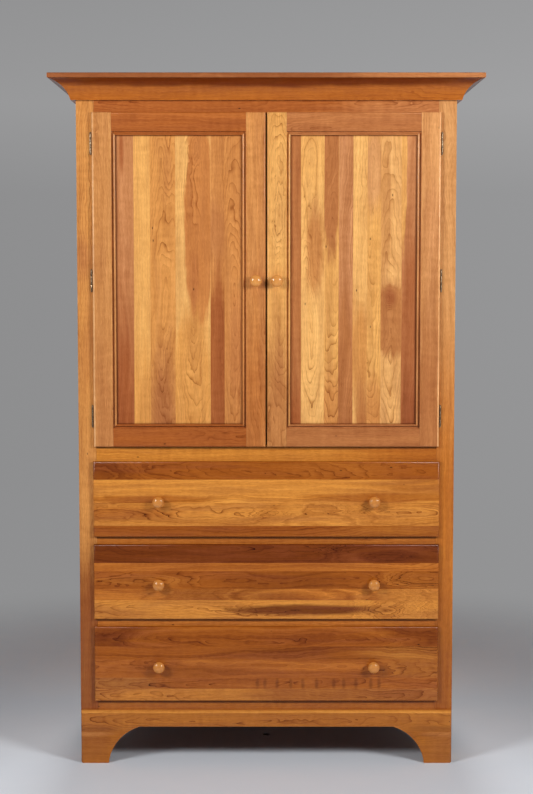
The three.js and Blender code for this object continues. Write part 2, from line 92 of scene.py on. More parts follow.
def fill_ramp(ramp, stops):
    """Puts (place, colour) stops into a colour ramp that comes with two."""
    while len(ramp.elements) < len(stops):
        ramp.elements.new(1.0)
    for element, (place, colour) in zip(ramp.elements, stops):
        element.position = place
        element.color = colour


print("deep cherry in linear light:", [round(v, 3) for v in linear("#9a5833")])

# %% [markdown]
# ## Closed surfaces from rings
# Every board, moulding and knob here is a stack of rings: the same number of points in each, joined
# ring to ring by four-sided faces, with the first and last ring filled. The points come as one numpy
# array, so a new shape is only a new formula. A mirrored shape would be inside out, so its volume is
# measured and its faces are turned where the sum is negative.

# %% Skins, joins and pieces
def skin(rings, flat_bands=()):
    """A closed surface through rings, an array of (rings, points, 3). The bands named in flat_bands are
    shaded flat, as the ends are."""
    count, around = rings.shape[:2]
    index = np.arange(count * around).reshape(count, around)
    ahead = np.roll(index, -1, axis=1)
    quads = np.stack((index[:-1], index[1:], ahead[1:], ahead[:-1]), axis=-1)
    flat = np.zeros(quads.shape[:2], bool)
    flat[list(flat_bands)] = True
    return facing_out(rings.reshape(-1, 3), quads.reshape(-1, 4), [index[0], index[-1][::-1]], flat.ravel())


def facing_out(points, quads, caps, flat):
    """Turns the faces outward. Six times the volume is the sum of a . (b x c) over the triangles of all
    faces, and is negative for a shape that is inside out."""
    fans = [np.column_stack((np.full(len(c) - 2, c[0]), c[1:-1], c[2:])) for c in caps]
    triangles = np.concatenate((quads[:, :3], quads[:, [0, 2, 3]], *fans))
    a, b, c = np.moveaxis(points[triangles], 1, 0)
    if np.sum(a * np.cross(b, c)) < 0:
        quads = quads[:, ::-1]
        caps = [cap[::-1] for cap in caps]
    return points, quads, caps, flat


def together(*shapes):
    """Puts several closed surfaces into one shape by shifting their indices."""
    starts = np.cumsum([0] + [len(shape[0]) for shape in shapes])
    points = np.concatenate([shape[0] for shape in shapes])
    quads = np.concatenate([shape[1] + start for shape, start in zip(shapes, starts)])
    caps = [cap + start for shape, start in zip(shapes, starts) for cap in shape[2]]
    return points, quads, caps, np.concatenate([shape[3] for shape in shapes])


def piece(name, shape, body, material, stands_for=()):
    """Makes the mesh object, shades it smooth where it is round, and lets it ride on its body."""
    points, quads, caps, flat = shape
    mesh = bpy.data.meshes.new(name)
    mesh.from_pydata(points.tolist(), [], quads.tolist() + [cap.tolist() for cap in caps])
    mesh.polygons.foreach_set("use_smooth", np.concatenate((~flat, np.zeros(len(caps), bool))))
    mesh.set_sharp_from_angle(angle=math.radians(32))
    mesh.materials.append(material)
    made = bpy.data.objects.new(name, mesh)
    bpy.context.scene.collection.objects.link(made)
    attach(made, body)
    if stands_for:
        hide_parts(*stands_for)


square = [[0, 0], [1, 0], [1, 1], [0, 1]]
cube = skin(np.array([[(u, v, level) for u, v in square] for level in (0.0, 1.0)]))
print("two square rings make a cube of", len(cube[1]) + len(cube[2]), "faces")

# %% [markdown]
# ## A board with eased edges
# A router or a block plane rounds a board's edges. On the real cabinet the door and drawer faces have
# a soft round, and glued-up boards only a fine arris that the light still catches. The board is its
# outline, repeated from the front face to the back. At each depth every side moves in by what its own
# round has taken off there, so neighbouring rounds meet in a true mitre and a square side stays square.

# %% Outlines that shrink into their rounds
PLACES = {"x": 0, "y": 1, "z": 2}


def laid(u, v, w, plane):
    """Puts three arrays on the axes that the plane names, such as "xzy" for a board that faces the front."""
    points = np.empty(np.broadcast(u, v, w).shape + (3,))
    for values, axis in zip((u, v, w), plane):
        points[..., PLACES[axis]] = values
    return points


def moved_in(outline, insets):
    """Moves each side of an outline in by its own inset. Where sides with unit directions a and b meet at
    a corner, and move in by p and q, the corner moves by (p b - q a) / (a x b)."""
    along = np.roll(outline, -1, axis=0) - outline
    along /= np.linalg.norm(along, axis=1)[:, None]
    before, p, q = np.roll(along, 1, axis=0), np.roll(insets, 1), insets
    turn = before[:, 0] * along[:, 1] - before[:, 1] * along[:, 0]
    straight = np.abs(turn) < 1e-6
    safe = np.where(straight, 1.0, turn)[:, None]
    moved = (p[:, None] * along - q[:, None] * before) / safe
    aside = p[:, None] * np.column_stack((-before[:, 1], before[:, 0]))
    return outline + np.where(straight[:, None], aside, moved)


def taken_off(depth, radii):
    """What a quarter round of radius r has taken off a side at this depth: r - sqrt(r^2 - (r - depth)^2)."""
    left = np.clip(radii - depth, 0, radii)
    return radii - np.sqrt(radii ** 2 - left ** 2)


print("a 3.5 mm round has taken off at 1 mm deep:", taken_off(0.001, np.array([0.0035])))


# %% Boards from outlines and from CAD nodes
def board(outline, face, back, plane, front_round=0.0005, back_round=0.0005, steps=6, curved=False):
    """A board between two faces. The rounds are one radius, or one for each side of the outline. A board
    whose outline is curved has its edges shaded smooth."""
    outline = np.asarray(outline, float)
    thickness = abs(back - face)
    rounds = [np.broadcast_to(np.asarray(r, float), len(outline)) for r in (front_round, back_round)]
    turn = 1 - np.cos(np.linspace(0, np.pi / 2, steps + 1))
    cuts = [np.unique(np.round(np.outer(np.unique(r), turn), 7)) for r in rounds]
    depths = np.concatenate((cuts[0], thickness - cuts[1][::-1]))
    rings = []
    for depth in depths:
        insets = taken_off(depth, rounds[0]) + taken_off(thickness - depth, rounds[1])
        ring = moved_in(outline, insets)
        level = face + depth * np.sign(back - face)
        rings.append(laid(ring[:, 0], ring[:, 1], np.full(len(ring), level), plane))
    return skin(np.array(rings), flat_bands=[] if curved else [len(cuts[0]) - 1])


def rectangle(low, high):
    """Four corners, counter-clockwise from the lowest: the sides are bottom, right, top and left."""
    return np.array([[low[0], low[1]], [high[0], low[1]], [high[0], high[1]], [low[0], high[1]]])


def boxed(node, plane, front_round=0.0005, back_round=0.0005):
    """A board in the place of a CAD node. The plane's third axis runs from the board's face to its back."""
    low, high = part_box(node)
    u, v, w = (PLACES[axis] for axis in plane)
    outline = rectangle((low[u], low[v]), (high[u], high[v]))
    return board(outline, low[w], high[w], plane, front_round, back_round)


print("a square's corners:", rectangle((0, 0), (1, 1)).tolist())

# %% [markdown]
# ## The figure of sawn wood
# A tree is a bundle of cones round its pith, one for each year, and a board is a flat cut through
# them. So the grain isn't painted: the material works out how far each point lies from the pith, and a
# thin dark line stands wherever that distance passes a whole number of years. Where the cut runs close
# over the pith and leans against it, the lines close into the arched cathedrals of flat-sawn cherry.
# Far from the pith they run straight. Slow noise bends the trunk, quick noise ripples each ring, and
# long fine noise makes the streaks. All sizes are in millimetres of real wood.

# %% What a figure can be set to, and its noises
FIGURE = {"Lean": 0.05, "Shift": 0.0, "Swell": 0.0, "Spacing": 5.5, "Lines": 0.65, "Drift": 0.4, "Streak": 0.4,
          "Curl": 0.34, "Flecks": 0.9, "Wander": 44.0, "Ripple": 9.0, "Bands": 0.5}
# Each noise has its length along and its width across the grain in mm, its detail, roughness and distortion.
GRAIN_NOISES = {
    "slow": (250, 75, 1.0, 0.45, 0.0),
    "quick": (40, 20, 1.0, 0.5, 0.0),
    "drift": (260, 26, 3.5, 0.55, 0.4),
    "streak": (130, 3.2, 3.0, 0.6, 0.0),
    "fibre": (11, 2.6, 2.0, 0.6, 0.0),
    "curl": (14, 45, 1.0, 0.4, 0.0),
    "pore": (6, 0.5, 2.0, 0.5, 0.0),
}


def socket(tree, name, kind, side="INPUT", value=None):
    """Adds an input or output to a node group."""
    made = tree.interface.new_socket(name=name, in_out=side, socket_type=kind)
    if value is not None:
        made.default_value = value


def stretched_noises(add, place):
    """Every noise of the table, drawn out along the grain by dividing the place by its length and width."""
    noise = {}
    for name, (length, width, detail, roughness, distortion) in GRAIN_NOISES.items():
        at = add("VectorMath", (place, (1 / length, 1 / width, 1 / width)), operation="MULTIPLY")
        noise[name] = add("TexNoise", {"Vector": at, "Scale": 1.0, "Detail": detail, "Roughness": roughness,
                                       "Distortion": distortion})
    return noise


print("settings of a figure:", ", ".join(FIGURE))


# %% Where the years lie
def years_from_pith(add, given, noise):
    """The distance to a pith that wanders, counted in years. The trunk wanders over hundreds of millimetres,
    and each ring ripples over tens. Also how squarely the cut crosses the rings."""
    ways = []
    for name, amount in (("slow", "Wander"), ("quick", "Ripple")):
        way = add("VectorMath", (noise[name].outputs["Color"], (0.5, 0.5, 0.5)), operation="SUBTRACT")
        ways.append(add("VectorMath", {0: way, "Scale": given[amount]}, operation="SCALE"))
    way = add("VectorMath", ways, operation="ADD")
    aside = add("Math", (given["Across"], given["Pith"]), operation="SUBTRACT")
    deep = add("Math", (given["Along"], given["Lean"], given["Depth"]), operation="MULTIPLY_ADD")
    deep = add("Math", (deep, given["Through"]), operation="ADD")
    section = add("CombineXYZ", (aside, deep))
    section = add("VectorMath", (section, way), operation="ADD")
    section = add("VectorMath", (section, (1.0, 1.0, 0.0)), operation="MULTIPLY")
    reach = add("VectorMath", (section,), operation="LENGTH").outputs["Value"]
    swollen = add("Math", (reach, given["Swell"]), operation="ADD")
    years = add("Math", (swollen, given["Spacing"]), operation="DIVIDE")
    sides = add("SeparateXYZ", (section,))
    squareness = add("Math", (sides, reach), operation="DIVIDE")
    return years, add("Math", (squareness, 2.0), operation="POWER")


def year_lines(add, given, years, squareness, seen):
    """A line at the end of each year: the fifth power of the year's fraction. Every year has a strength of its
    own, so that bold lines stand among faint ones. Lines fade where the cut crosses the rings squarely."""
    count = add("Math", (years,), operation="FLOOR")
    count = add("Math", (given["Shift"], 97.0, count), operation="MULTIPLY_ADD")
    season = add("TexWhiteNoise", {"W": count}, noise_dimensions="1D").outputs["Value"]
    bold = add("MapRange", {"Value": season, "To Min": 0.35, "To Max": 1.25})
    flatness = add("Math", (squareness, -0.8, 1.0), operation="MULTIPLY_ADD")
    year = add("Math", (years,), operation="FRACT")
    line = add("Math", (year, 5.0), operation="POWER")
    for factor in (seen, bold, flatness, given["Lines"]):
        line = add("Math", (line, factor), operation="MULTIPLY")
    return line, season


print("over the pith, one year passes every", FIGURE["Spacing"] / FIGURE["Lean"], "mm of board")


# %% The tone of the wood
def figure_tone(add, given, noise, years, season, line, seen):
    """One number that the colour is multiplied by: 1 plus or minus runs of years, streaks, curl and lines.
    Streaks follow the fibres, a few millimetres wide and some hundred long. Curl is where the fibres dip in
    and out, and the light breaks into soft bars across the grain."""
    streak, fibre, curl = (add("Math", (noise[name], 0.5), operation="SUBTRACT")
                           for name in ("streak", "fibre", "curl"))
    streak = add("Math", (streak, fibre), operation="ADD")
    streak = add("Math", (streak, given["Streak"]), operation="MULTIPLY")
    for factor in (seen, given["Curl"]):
        curl = add("Math", (curl, factor), operation="MULTIPLY")
    # Good and lean years come in runs, so soft bands of tone follow the same curves as the lines.
    runs = add("Math", (given["Shift"], 41.0, years), operation="MULTIPLY_ADD")
    runs = add("TexNoise", {"W": runs, "Scale": 0.3, "Detail": 2.0, "Roughness": 0.6}, noise_dimensions="1D")
    runs = add("Math", (runs, 0.5), operation="SUBTRACT")
    year_tone = add("MapRange", {"Value": season, "To Min": 0.96, "To Max": 1.04})
    tone = add("Math", (runs, given["Bands"], year_tone), operation="MULTIPLY_ADD")
    for part, way in ((streak, "ADD"), (curl, "ADD"), (line, "SUBTRACT")):
        tone = add("Math", (tone, part), operation=way)
    return tone


def gum_flecks(add, given, place):
    """One small dark dash in a few of the cells that a stretched lattice makes."""
    at = add("VectorMath", (place, (1 / 34, 1 / 15, 1 / 15)), operation="MULTIPLY")
    cell = add("TexVoronoi", {"Vector": at, "Scale": 1.0, "Randomness": 1.0})
    chance = add("SeparateColor", (cell.outputs["Color"],))
    fleck = add("MapRange", {"Value": chance, "From Min": 0.93, "From Max": 0.955})
    size = add("MapRange", {"Value": cell.outputs["Distance"], "From Min": 0.14, "From Max": 0.05})
    for factor in (size, given["Flecks"]):
        fleck = add("Math", (fleck, factor), operation="MULTIPLY")
    return fleck


# A darker tone is also a redder one, so blue and green fall faster than red.
CHANNEL_POWERS = (0.8, 1.15, 1.5)
print("a tone of 0.8 leaves red, green, blue at", [round(0.8 ** power, 2) for power in CHANNEL_POWERS])


# %% The wood group
def make_wood_group():
    """Colour, roughness and height of a sawn surface, from its place in the log."""
    tree = bpy.data.node_groups.new("sawn wood", "ShaderNodeTree")
    add = functools.partial(add_node, tree)
    for name in ("Along", "Across", "Through", "Pith", "Depth"):
        socket(tree, name, "NodeSocketFloat", value=0.0)
    for name, value in FIGURE.items():
        socket(tree, name, "NodeSocketFloat", value=value)
    for name in ("Base", "Heart"):
        socket(tree, name, "NodeSocketColor")
    for name, kind in (("Colour", "Color"), ("Roughness", "Float"), ("Height", "Float")):
        socket(tree, name, "NodeSocket" + kind, side="OUTPUT")
    given = add("NodeGroupInput").outputs
    along = add("Math", (given["Shift"], 3000.0, given["Along"]), operation="MULTIPLY_ADD")
    place = add("CombineXYZ", (along, given["Across"], given["Through"]))
    noise = stretched_noises(add, place)
    years, squareness = years_from_pith(add, given, noise)
    seen = add("MapRange", {"Value": noise["slow"].outputs["Fac"], "From Min": 0.38, "From Max": 0.62,
                            "To Min": 0.5, "To Max": 1.0})
    line, season = year_lines(add, given, years, squareness, seen)
    tone = figure_tone(add, given, noise, years, season, line, seen)
    # The heartwood's colour comes and goes along the board.
    drift = add("MapRange", {"Value": noise["drift"], "From Min": 0.42, "From Max": 0.8, "To Min": 0.0,
                             "To Max": 1.0})
    drift = add("Math", (drift, given["Drift"]), operation="MULTIPLY")
    colour = add("Mix", {"Factor": drift, "A": given["Base"], "B": given["Heart"]}, data_type="RGBA")
    powers = add("CombineColor", [add("Math", (tone, power), operation="POWER") for power in CHANNEL_POWERS])
    colour = add("Mix", {"Factor": 1.0, "A": colour.outputs["Result"], "B": powers}, data_type="RGBA",
                 blend_type="MULTIPLY")
    colour = add("Mix", {"Factor": gum_flecks(add, given, place), "A": colour.outputs["Result"],
                         "B": linear("#2e1409")}, data_type="RGBA")
    rough = add("MapRange", {"Value": noise["streak"], "From Min": 0.3, "From Max": 0.7, "To Min": 0.18,
                             "To Max": 0.26})
    height = add("Math", (line, -0.6, noise["pore"]), operation="MULTIPLY_ADD")
    add("NodeGroupOutput", {"Colour": colour.outputs["Result"], "Roughness": rough, "Height": height})
    return tree


wood_group = make_wood_group()
print("nodes in the wood group:", len(wood_group.nodes))

# %% [markdown]
# ## Patches of sapwood, heartwood and knots
# A stave isn't one colour from end to end. Sapwood runs pale along one edge, and round a knot the wood
# darkens and the years bend. Each such place is an ellipse in the board's own plane, given in
# millimetres, and slow noise pulls its edge about so that it looks grown. Inside it the colour changes,
# and the distance to the pith swells, which wraps the lines round it in nested arcs. The next stave came
# from another board, so a patch stops dead at the joint.

# %% The patch group
def make_patch_group():
    """Mixes a tint into a colour inside an ellipse, and adds a swell. With the distance from the centre counted
    in half sizes, the tint is full up to Inner and gone at 1, and the swell follows (1 - distance^2)^2. Both
    end at the joints Low and High of the stave they grew in."""
    tree = bpy.data.node_groups.new("wood patch", "ShaderNodeTree")
    add = functools.partial(add_node, tree)
    kinds = {"Colour": "Color", "Place": "Vector", "Centre": "Vector", "Half": "Vector", "Tint": "Color"}
    for name, kind in kinds.items():
        socket(tree, name, "NodeSocket" + kind)
    for name in ("Strength", "Inner", "Swell", "Rise", "Across", "Low", "High"):
        socket(tree, name, "NodeSocketFloat", value=0.0)
    for name, kind in (("Colour", "Color"), ("Swell", "Float")):
        socket(tree, name, "NodeSocket" + kind, side="OUTPUT")
    given = add("NodeGroupInput").outputs
    away = add("VectorMath", (given["Place"], given["Centre"]), operation="SUBTRACT")
    away = add("VectorMath", (away, given["Half"]), operation="DIVIDE")
    away = add("VectorMath", (away,), operation="LENGTH").outputs["Value"]
    above = add("Math", (given["Across"], given["Low"]), operation="GREATER_THAN")
    below = add("Math", (given["Across"], given["High"]), operation="LESS_THAN")
    inside = add("Math", (above, below), operation="MULTIPLY")
    share = add("MapRange", {"Value": away, "From Min": 1.0, "From Max": given["Inner"]},
                interpolation_type="SMOOTHSTEP")
    for factor in (given["Strength"], inside):
        share = add("Math", (share, factor), operation="MULTIPLY")
    mixed = add("Mix", {"Factor": share, "A": given["Colour"], "B": given["Tint"]}, data_type="RGBA")
    left = add("Math", (away, away), operation="MULTIPLY")
    left = add("Math", (1.0, left), operation="SUBTRACT", use_clamp=True)
    left = add("Math", (left, 2.0), operation="POWER")
    left = add("Math", (left, inside), operation="MULTIPLY")
    swell = add("Math", (left, given["Rise"], given["Swell"]), operation="MULTIPLY_ADD")
    add("NodeGroupOutput", {"Colour": mixed.outputs["Result"], "Swell": swell})
    return tree


patch_group = make_patch_group()
print("nodes in the patch group:", len(patch_group.nodes))

# %% [markdown]
# ## One finish for any board
# The armoire is glued up from staves, each from another tree or another side of it. A board's finish
# is a list of staves, each with its far edge, its colour and where its log's pith lay. Two stepped
# ramps read that list across the board: one holds the colours and one the logs. The finish on cherry
# is a rubbed satin lacquer, clear enough to let the curl glow and smooth enough for a soft highlight.

# %% Staves and patches across a board
def stave_ramps(add, position, staves):
    """Two stepped ramps across the board. One holds the staves' colours. The other holds each log's pith,
    depth, lean and shift in its four channels, scaled to about 0 to 1, and is read back here."""
    low, high = staves[0][0], staves[-1][0]
    share = add("MapRange", {"Value": position, "From Min": low, "From Max": high})
    colour_steps, log_steps = [], []
    for before, (edge, colour, pith, depth, lean, shift) in zip(staves[:-1], staves[1:]):
        place = (before[0] - low) / (high - low)
        centre = before[0] - low + pith * (edge - before[0])
        colour_steps.append((place, linear(colour)))
        log_steps.append((place, (centre / 1000 + 0.5, depth / 400 + 0.5, lean + 0.5, shift)))
    tones, logs = (add("ValToRGB", (share,)) for _ in range(2))
    for ramp, steps in ((tones.color_ramp, colour_steps), (logs.color_ramp, log_steps)):
        ramp.interpolation = "CONSTANT"
        fill_ramp(ramp, steps if len(steps) > 1 else steps * 2)
    log = add("SeparateColor", (logs.outputs["Color"],)).outputs
    return tones.outputs["Color"], {
        "Pith": add("MapRange", {"Value": log[0], "To Min": low - 500, "To Max": low + 500}),
        "Depth": add("MapRange", {"Value": log[1], "To Min": -200.0, "To Max": 200.0}),
        "Lean": add("Math", (log[2], 0.5), operation="SUBTRACT"),
        "Shift": logs.outputs["Alpha"],
    }


TONGUE = (170.0, 18.0)


def patched(add, colour, along, across, start, staves, patches):
    """Lays each patch over the colour, and sums up how far they swell the years. A patch is (centre, half
    size, tint, strength, inner, rise), and its centre along the grain is measured from the start."""
    flat = add("CombineXYZ", (along, across))
    # The pull is long and narrow, so that the end of a patch runs out in tongues along the grain.
    pull_at = add("VectorMath", (flat, (1 / 80, 1 / 12, 1.0)), operation="MULTIPLY")
    pull = add("TexNoise", {"Vector": pull_at, "Scale": 1.0, "Detail": 4.0})
    pull = add("VectorMath", (pull.outputs["Color"], (0.5, 0.5, 0.5)), operation="SUBTRACT")
    # A patch stays in one stave. The outermost joints lie 1 mm past the board, so that its edges are inside.
    joints = [staves[0][0] - 1, *[stave[0] for stave in staves[1:-1]], staves[-1][0] + 1]
    swell = 0.0
    for centre, half, tint, strength, inner, rise in patches:
        tongue = (*[min(limit, 0.6 * size) for limit, size in zip(TONGUE, half)], 0.0)
        pulled = add("VectorMath", (pull, tongue, flat), operation="MULTIPLY_ADD")
        home = min(max(np.searchsorted(joints, centre[1]), 1), len(joints) - 1)
        patch = add("Group", {
            "Colour": colour, "Place": pulled, "Centre": (centre[0] - start, centre[1], 0.0),
            "Half": (*half, 1.0), "Tint": linear(tint), "Strength": strength, "Inner": inner, "Rise": rise,
            "Swell": swell, "Across": across, "Low": joints[home - 1], "High": joints[home],
        }, node_tree=patch_group).outputs
        colour, swell = patch["Colour"], patch["Swell"]
    return colour, swell


print("longest tongue of a patch, along and across the grain in mm:", TONGUE)


# %% The finish of a board made of staves
RELIEF = 0.0002


def wood(name, box, grain, across, staves, patches=(), heart="#8a4526", roughness=0.0, shine=0.26, bump=0.25,
         **figure):
    """A material for the board in a box. After the lowest edge, each stave is (far edge in mm, colour, pith,
    depth, lean, shift): the pith's place across in stave widths from the stave's own lower edge, its depth in
    mm, how fast the cut leans towards it, and which part of the log this is."""
    material, add = empty_material(name)
    through = next(axis for axis in "xyz" if axis not in (grain, across))
    middle = [1000 * (a + b) / 2 for a, b in zip(*box)]
    middle[PLACES[across]] = 0.0
    at = add("TexCoord").outputs["Object"]
    at = add("VectorMath", {0: at, "Scale": 1000.0}, operation="SCALE")
    at = add("VectorMath", (at, middle), operation="SUBTRACT")
    axes = dict(zip("xyz", add("SeparateXYZ", (at,)).outputs))
    colour, log = stave_ramps(add, axes[across], staves)
    swell = 0.0
    if patches:
        colour, swell = patched(add, colour, axes[grain], axes[across], middle[PLACES[grain]], staves, patches)
    grown = add("Group", {
        "Along": axes[grain], "Across": axes[across], "Through": axes[through], **log, "Base": colour,
        "Swell": swell, "Heart": linear(heart), **{key.capitalize(): value for key, value in figure.items()},
    }, node_tree=wood_group).outputs
    rough = add("Math", (grown["Roughness"], roughness), operation="ADD")
    raised = add("Bump", {"Height": grown["Height"], "Strength": bump, "Distance": RELIEF})
    surface = add("BsdfPrincipled", {"Base Color": grown["Colour"], "Roughness": rough, "Normal": raised,
                                     "Specular IOR Level": shine})
    add("OutputMaterial", {"Surface": surface})
    return material


def shaded(material, factor):
    """Multiplies the colour of a finished material by another colour."""
    tree = material.node_tree
    surface = next(node for node in tree.nodes if node.type == "BSDF_PRINCIPLED")
    figure_colour = surface.inputs["Base Color"].links[0].from_socket
    mixed = add_node(tree, "Mix", {"Factor": 1.0, "A": figure_colour, "B": factor}, data_type="RGBA",
                     blend_type="MULTIPLY")
    tree.links.new(mixed.outputs["Result"], surface.inputs["Base Color"])


print("relief of the figure at full strength:", 1000 * RELIEF, "mm")

# %% [markdown]
# ## The camera
# The photograph was taken from far off with a long lens, at the height of the doors and tilted a
# little down. That keeps the sides of the case nearly upright.

# %% Camera
camera_data = bpy.data.cameras.new("camera")
camera_data.lens = 76.74
camera_data.sensor_width = 36
camera = bpy.data.objects.new("camera", camera_data)
camera.location = (0.0004, -4.8905, 1.391)
camera.rotation_euler = (math.radians(90 - 4.61), 0, 0)
bpy.context.scene.collection.objects.link(camera)
bpy.context.scene.camera = camera
print("the lens sees", round(math.degrees(camera_data.angle), 1), "degrees on the long side")

# %% [markdown]
# ## The studio
# A pale paper floor that curves up into its own wall leaves no corner behind the cabinet. Here it is
# a wide bowl, so it closes the view from every side. Near the cabinet the paper is lit like a real floor
# and takes the shadows. Far off, where real paper would have lamps of its own, it glows with painted
# light: a grey that changes a little with height and is brighter to the right, seen by the camera and in
# reflections. It adds no light to the cabinet.

# %% Floor and wall
scene = bpy.context.scene
scene.view_settings.view_transform = "Standard"
FLOOR_RADIUS, BEND, WALL_TOP = 6.0, 3.0, 6.0
bend = np.linspace(0, np.pi / 2, 25)
radius = np.concatenate(([0.01, 2.0, 4.0], FLOOR_RADIUS + BEND * np.sin(bend), [FLOOR_RADIUS + BEND]))
height = np.concatenate(([0.0, 0.0, 0.0], BEND - BEND * np.cos(bend), [WALL_TOP]))
turn = np.linspace(0, 2 * np.pi, 97)[:-1]
bowl = np.stack((np.outer(radius, np.cos(turn)), np.outer(radius, np.sin(turn)),
                 np.outer(height, np.ones(96))), axis=-1)
index = np.arange(bowl.shape[0] * 96).reshape(-1, 96)
ahead = np.roll(index, -1, axis=1)
bowl_faces = np.stack((index[:-1], index[1:], ahead[1:], ahead[:-1]), axis=-1).reshape(-1, 4)
bowl_mesh = bpy.data.meshes.new("studio")
bowl_mesh.from_pydata(bowl.reshape(-1, 3).tolist(), [], bowl_faces.tolist() + [index[0][::-1].tolist()])
bowl_mesh.polygons.foreach_set("use_smooth", np.ones(len(bowl_mesh.polygons), bool))
studio = bpy.data.objects.new("studio", bowl_mesh)
scene.collection.objects.link(studio)
print("studio radius:", FLOOR_RADIUS + BEND, "m")

# %% Backdrop paper
paper, add = empty_material("backdrop paper")
at = add("TexCoord").outputs["Object"]
fibres = add("TexNoise", {"Vector": at, "Scale": 9.0, "Detail": 4.0})
tint = add("Mix", {"Factor": fibres, "A": linear("#dde3eb"), "B": linear("#e1e6ed")}, data_type="RGBA")
lit = add("BsdfPrincipled", {"Base Color": tint.outputs["Result"], "Roughness": 0.85})
level = add("SeparateXYZ", (at,)).outputs
wall = add("MapRange", {"Value": level["Z"], "From Min": 0.0, "From Max": 4.0})
wall = add("ValToRGB", (wall,))
fill_ramp(wall.color_ramp, [(0.0, linear("#8f8f90")), (0.48, linear("#909091")), (0.66, linear("#9a9a9b")),
                            (0.9, linear("#939394"))])
flat = add("VectorMath", (at, (1.0, 1.0, 0.0)), operation="MULTIPLY")
away = add("VectorMath", (flat,), operation="LENGTH").outputs["Value"]
far = add("MapRange", {"Value": away, "From Min": 1.1, "From Max": 2.4}, interpolation_type="SMOOTHSTEP")
# The far glow is painted light: a little brighter to the right, and its grey changes with height.
side = add("MapRange", {"Value": level["X"], "From Min": -2.5, "From Max": 2.5, "To Min": 0.97, "To Max": 1.1})
glow = add("Emission", {"Color": wall, "Strength": side})
ray = add("LightPath").outputs
seen = add("Math", (ray["Is Camera Ray"], ray["Is Glossy Ray"]), operation="ADD")
seen = add("Math", (seen, ray["Is Transmission Ray"]), operation="ADD", use_clamp=True)
seen = add("Math", (seen, far), operation="MULTIPLY")
mixed = add("MixShader", (seen, lit, glow))
add("OutputMaterial", {"Surface": mixed})
bowl_mesh.materials.append(paper)
print("paper:", paper.name)

# %% [markdown]
# ## The lamps
# Two soft lamps stand wide on the left and right of the camera, a little above the doors, the right one
# brighter. So each knob throws two shadows, the doors' rounded edges and beads catch a bright line, and
# the drawers get less light than the doors. On the doors' outer edges that line is also a painted
# highlight, a paler strip in the wood's colour. A third lamp stands behind, narrowed so that it lights the
# back and little of the floor. A dim white sky fills the shadows.

# %% Lamps and sky
def softbox(name, place, aim, size, power):
    """A square lamp whose face looks from its place to a point."""
    lamp_data = bpy.data.lights.new(name, "AREA")
    lamp_data.size = size
    lamp_data.energy = power
    lamp = bpy.data.objects.new(name, lamp_data)
    away = np.subtract(place, aim)
    flat = math.hypot(away[0], away[1])
    lamp.location = place
    lamp.rotation_euler = (math.atan2(flat, away[2]), 0, math.atan2(away[1], away[0]) + math.pi / 2)
    scene.collection.objects.link(lamp)
    return lamp


softbox("lamp left", (-2.2, -2.5, 2.1), (0, -0.3, 1.6), 0.85, 62.5)
softbox("lamp right", (2.2, -2.5, 2.1), (0, -0.3, 1.6), 0.85, 71.5)
lamp_behind = softbox("lamp behind", (0, 3.2, 2.2), (0, 0.3, 1.2), 1.0, 12)
lamp_behind.data.spread = math.radians(40)
world = bpy.data.worlds.new("studio sky")
scene.world = world
world.use_nodes = True
world.node_tree.nodes["Background"].inputs["Color"].default_value = (1, 1, 1, 1)
world.node_tree.nodes["Background"].inputs["Strength"].default_value = 0.085

# %% [markdown]
# ## The tones of cherry
# Black cherry is pale straw at the sapwood and goes through honey and amber to red brown at the heart.
# The maker mixed them all, and laid light beside dark. These names are the palette for every board.

# %% Tones, and boards glued up by chance
SAP, STRAW, HONEY, AMBER = "#f0b469", "#e7a85c", "#dd984d", "#cf8949"
ROSY, CLAY, BRICK, RUSSET = "#c88654", "#b5713f", "#9f552a", "#ae6029"
GOLD, OCHRE, UMBER, CHESTNUT, COCOA = "#d88c39", "#bd6e27", "#ad6020", "#a05517", "#74350a"


def glued_up(low, high, seed, tones=(AMBER, RUSSET, ROSY, HONEY, CLAY), widest=105):
    """Staves of uneven width that fill a board from one edge to the other, with a tone and a log each."""
    chance = np.random.default_rng(seed)
    count = max(1, math.ceil((high - low) / widest))
    widths = chance.uniform(0.7, 1.3, count)
    edges = low + (high - low) * np.cumsum(widths) / widths.sum()
    first = chance.integers(len(tones))
    return [(low,)] + [
        (float(edge), tones[(first + i * 2) % len(tones)], float(chance.uniform(-0.6, 1.6)),
         float(chance.uniform(5, 60)), float(chance.uniform(-0.09, 0.09)), float(chance.uniform(0, 1)))
        for i, edge in enumerate(edges)
    ]


def span(node, axis):
    """Where a node starts and ends along one axis, in millimetres."""
    low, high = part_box(node)
    return 1000 * low[PLACES[axis]], 1000 * high[PLACES[axis]]


print("staves of one side:", len(glued_up(*span("side_left", "y"), seed=3)) - 1)
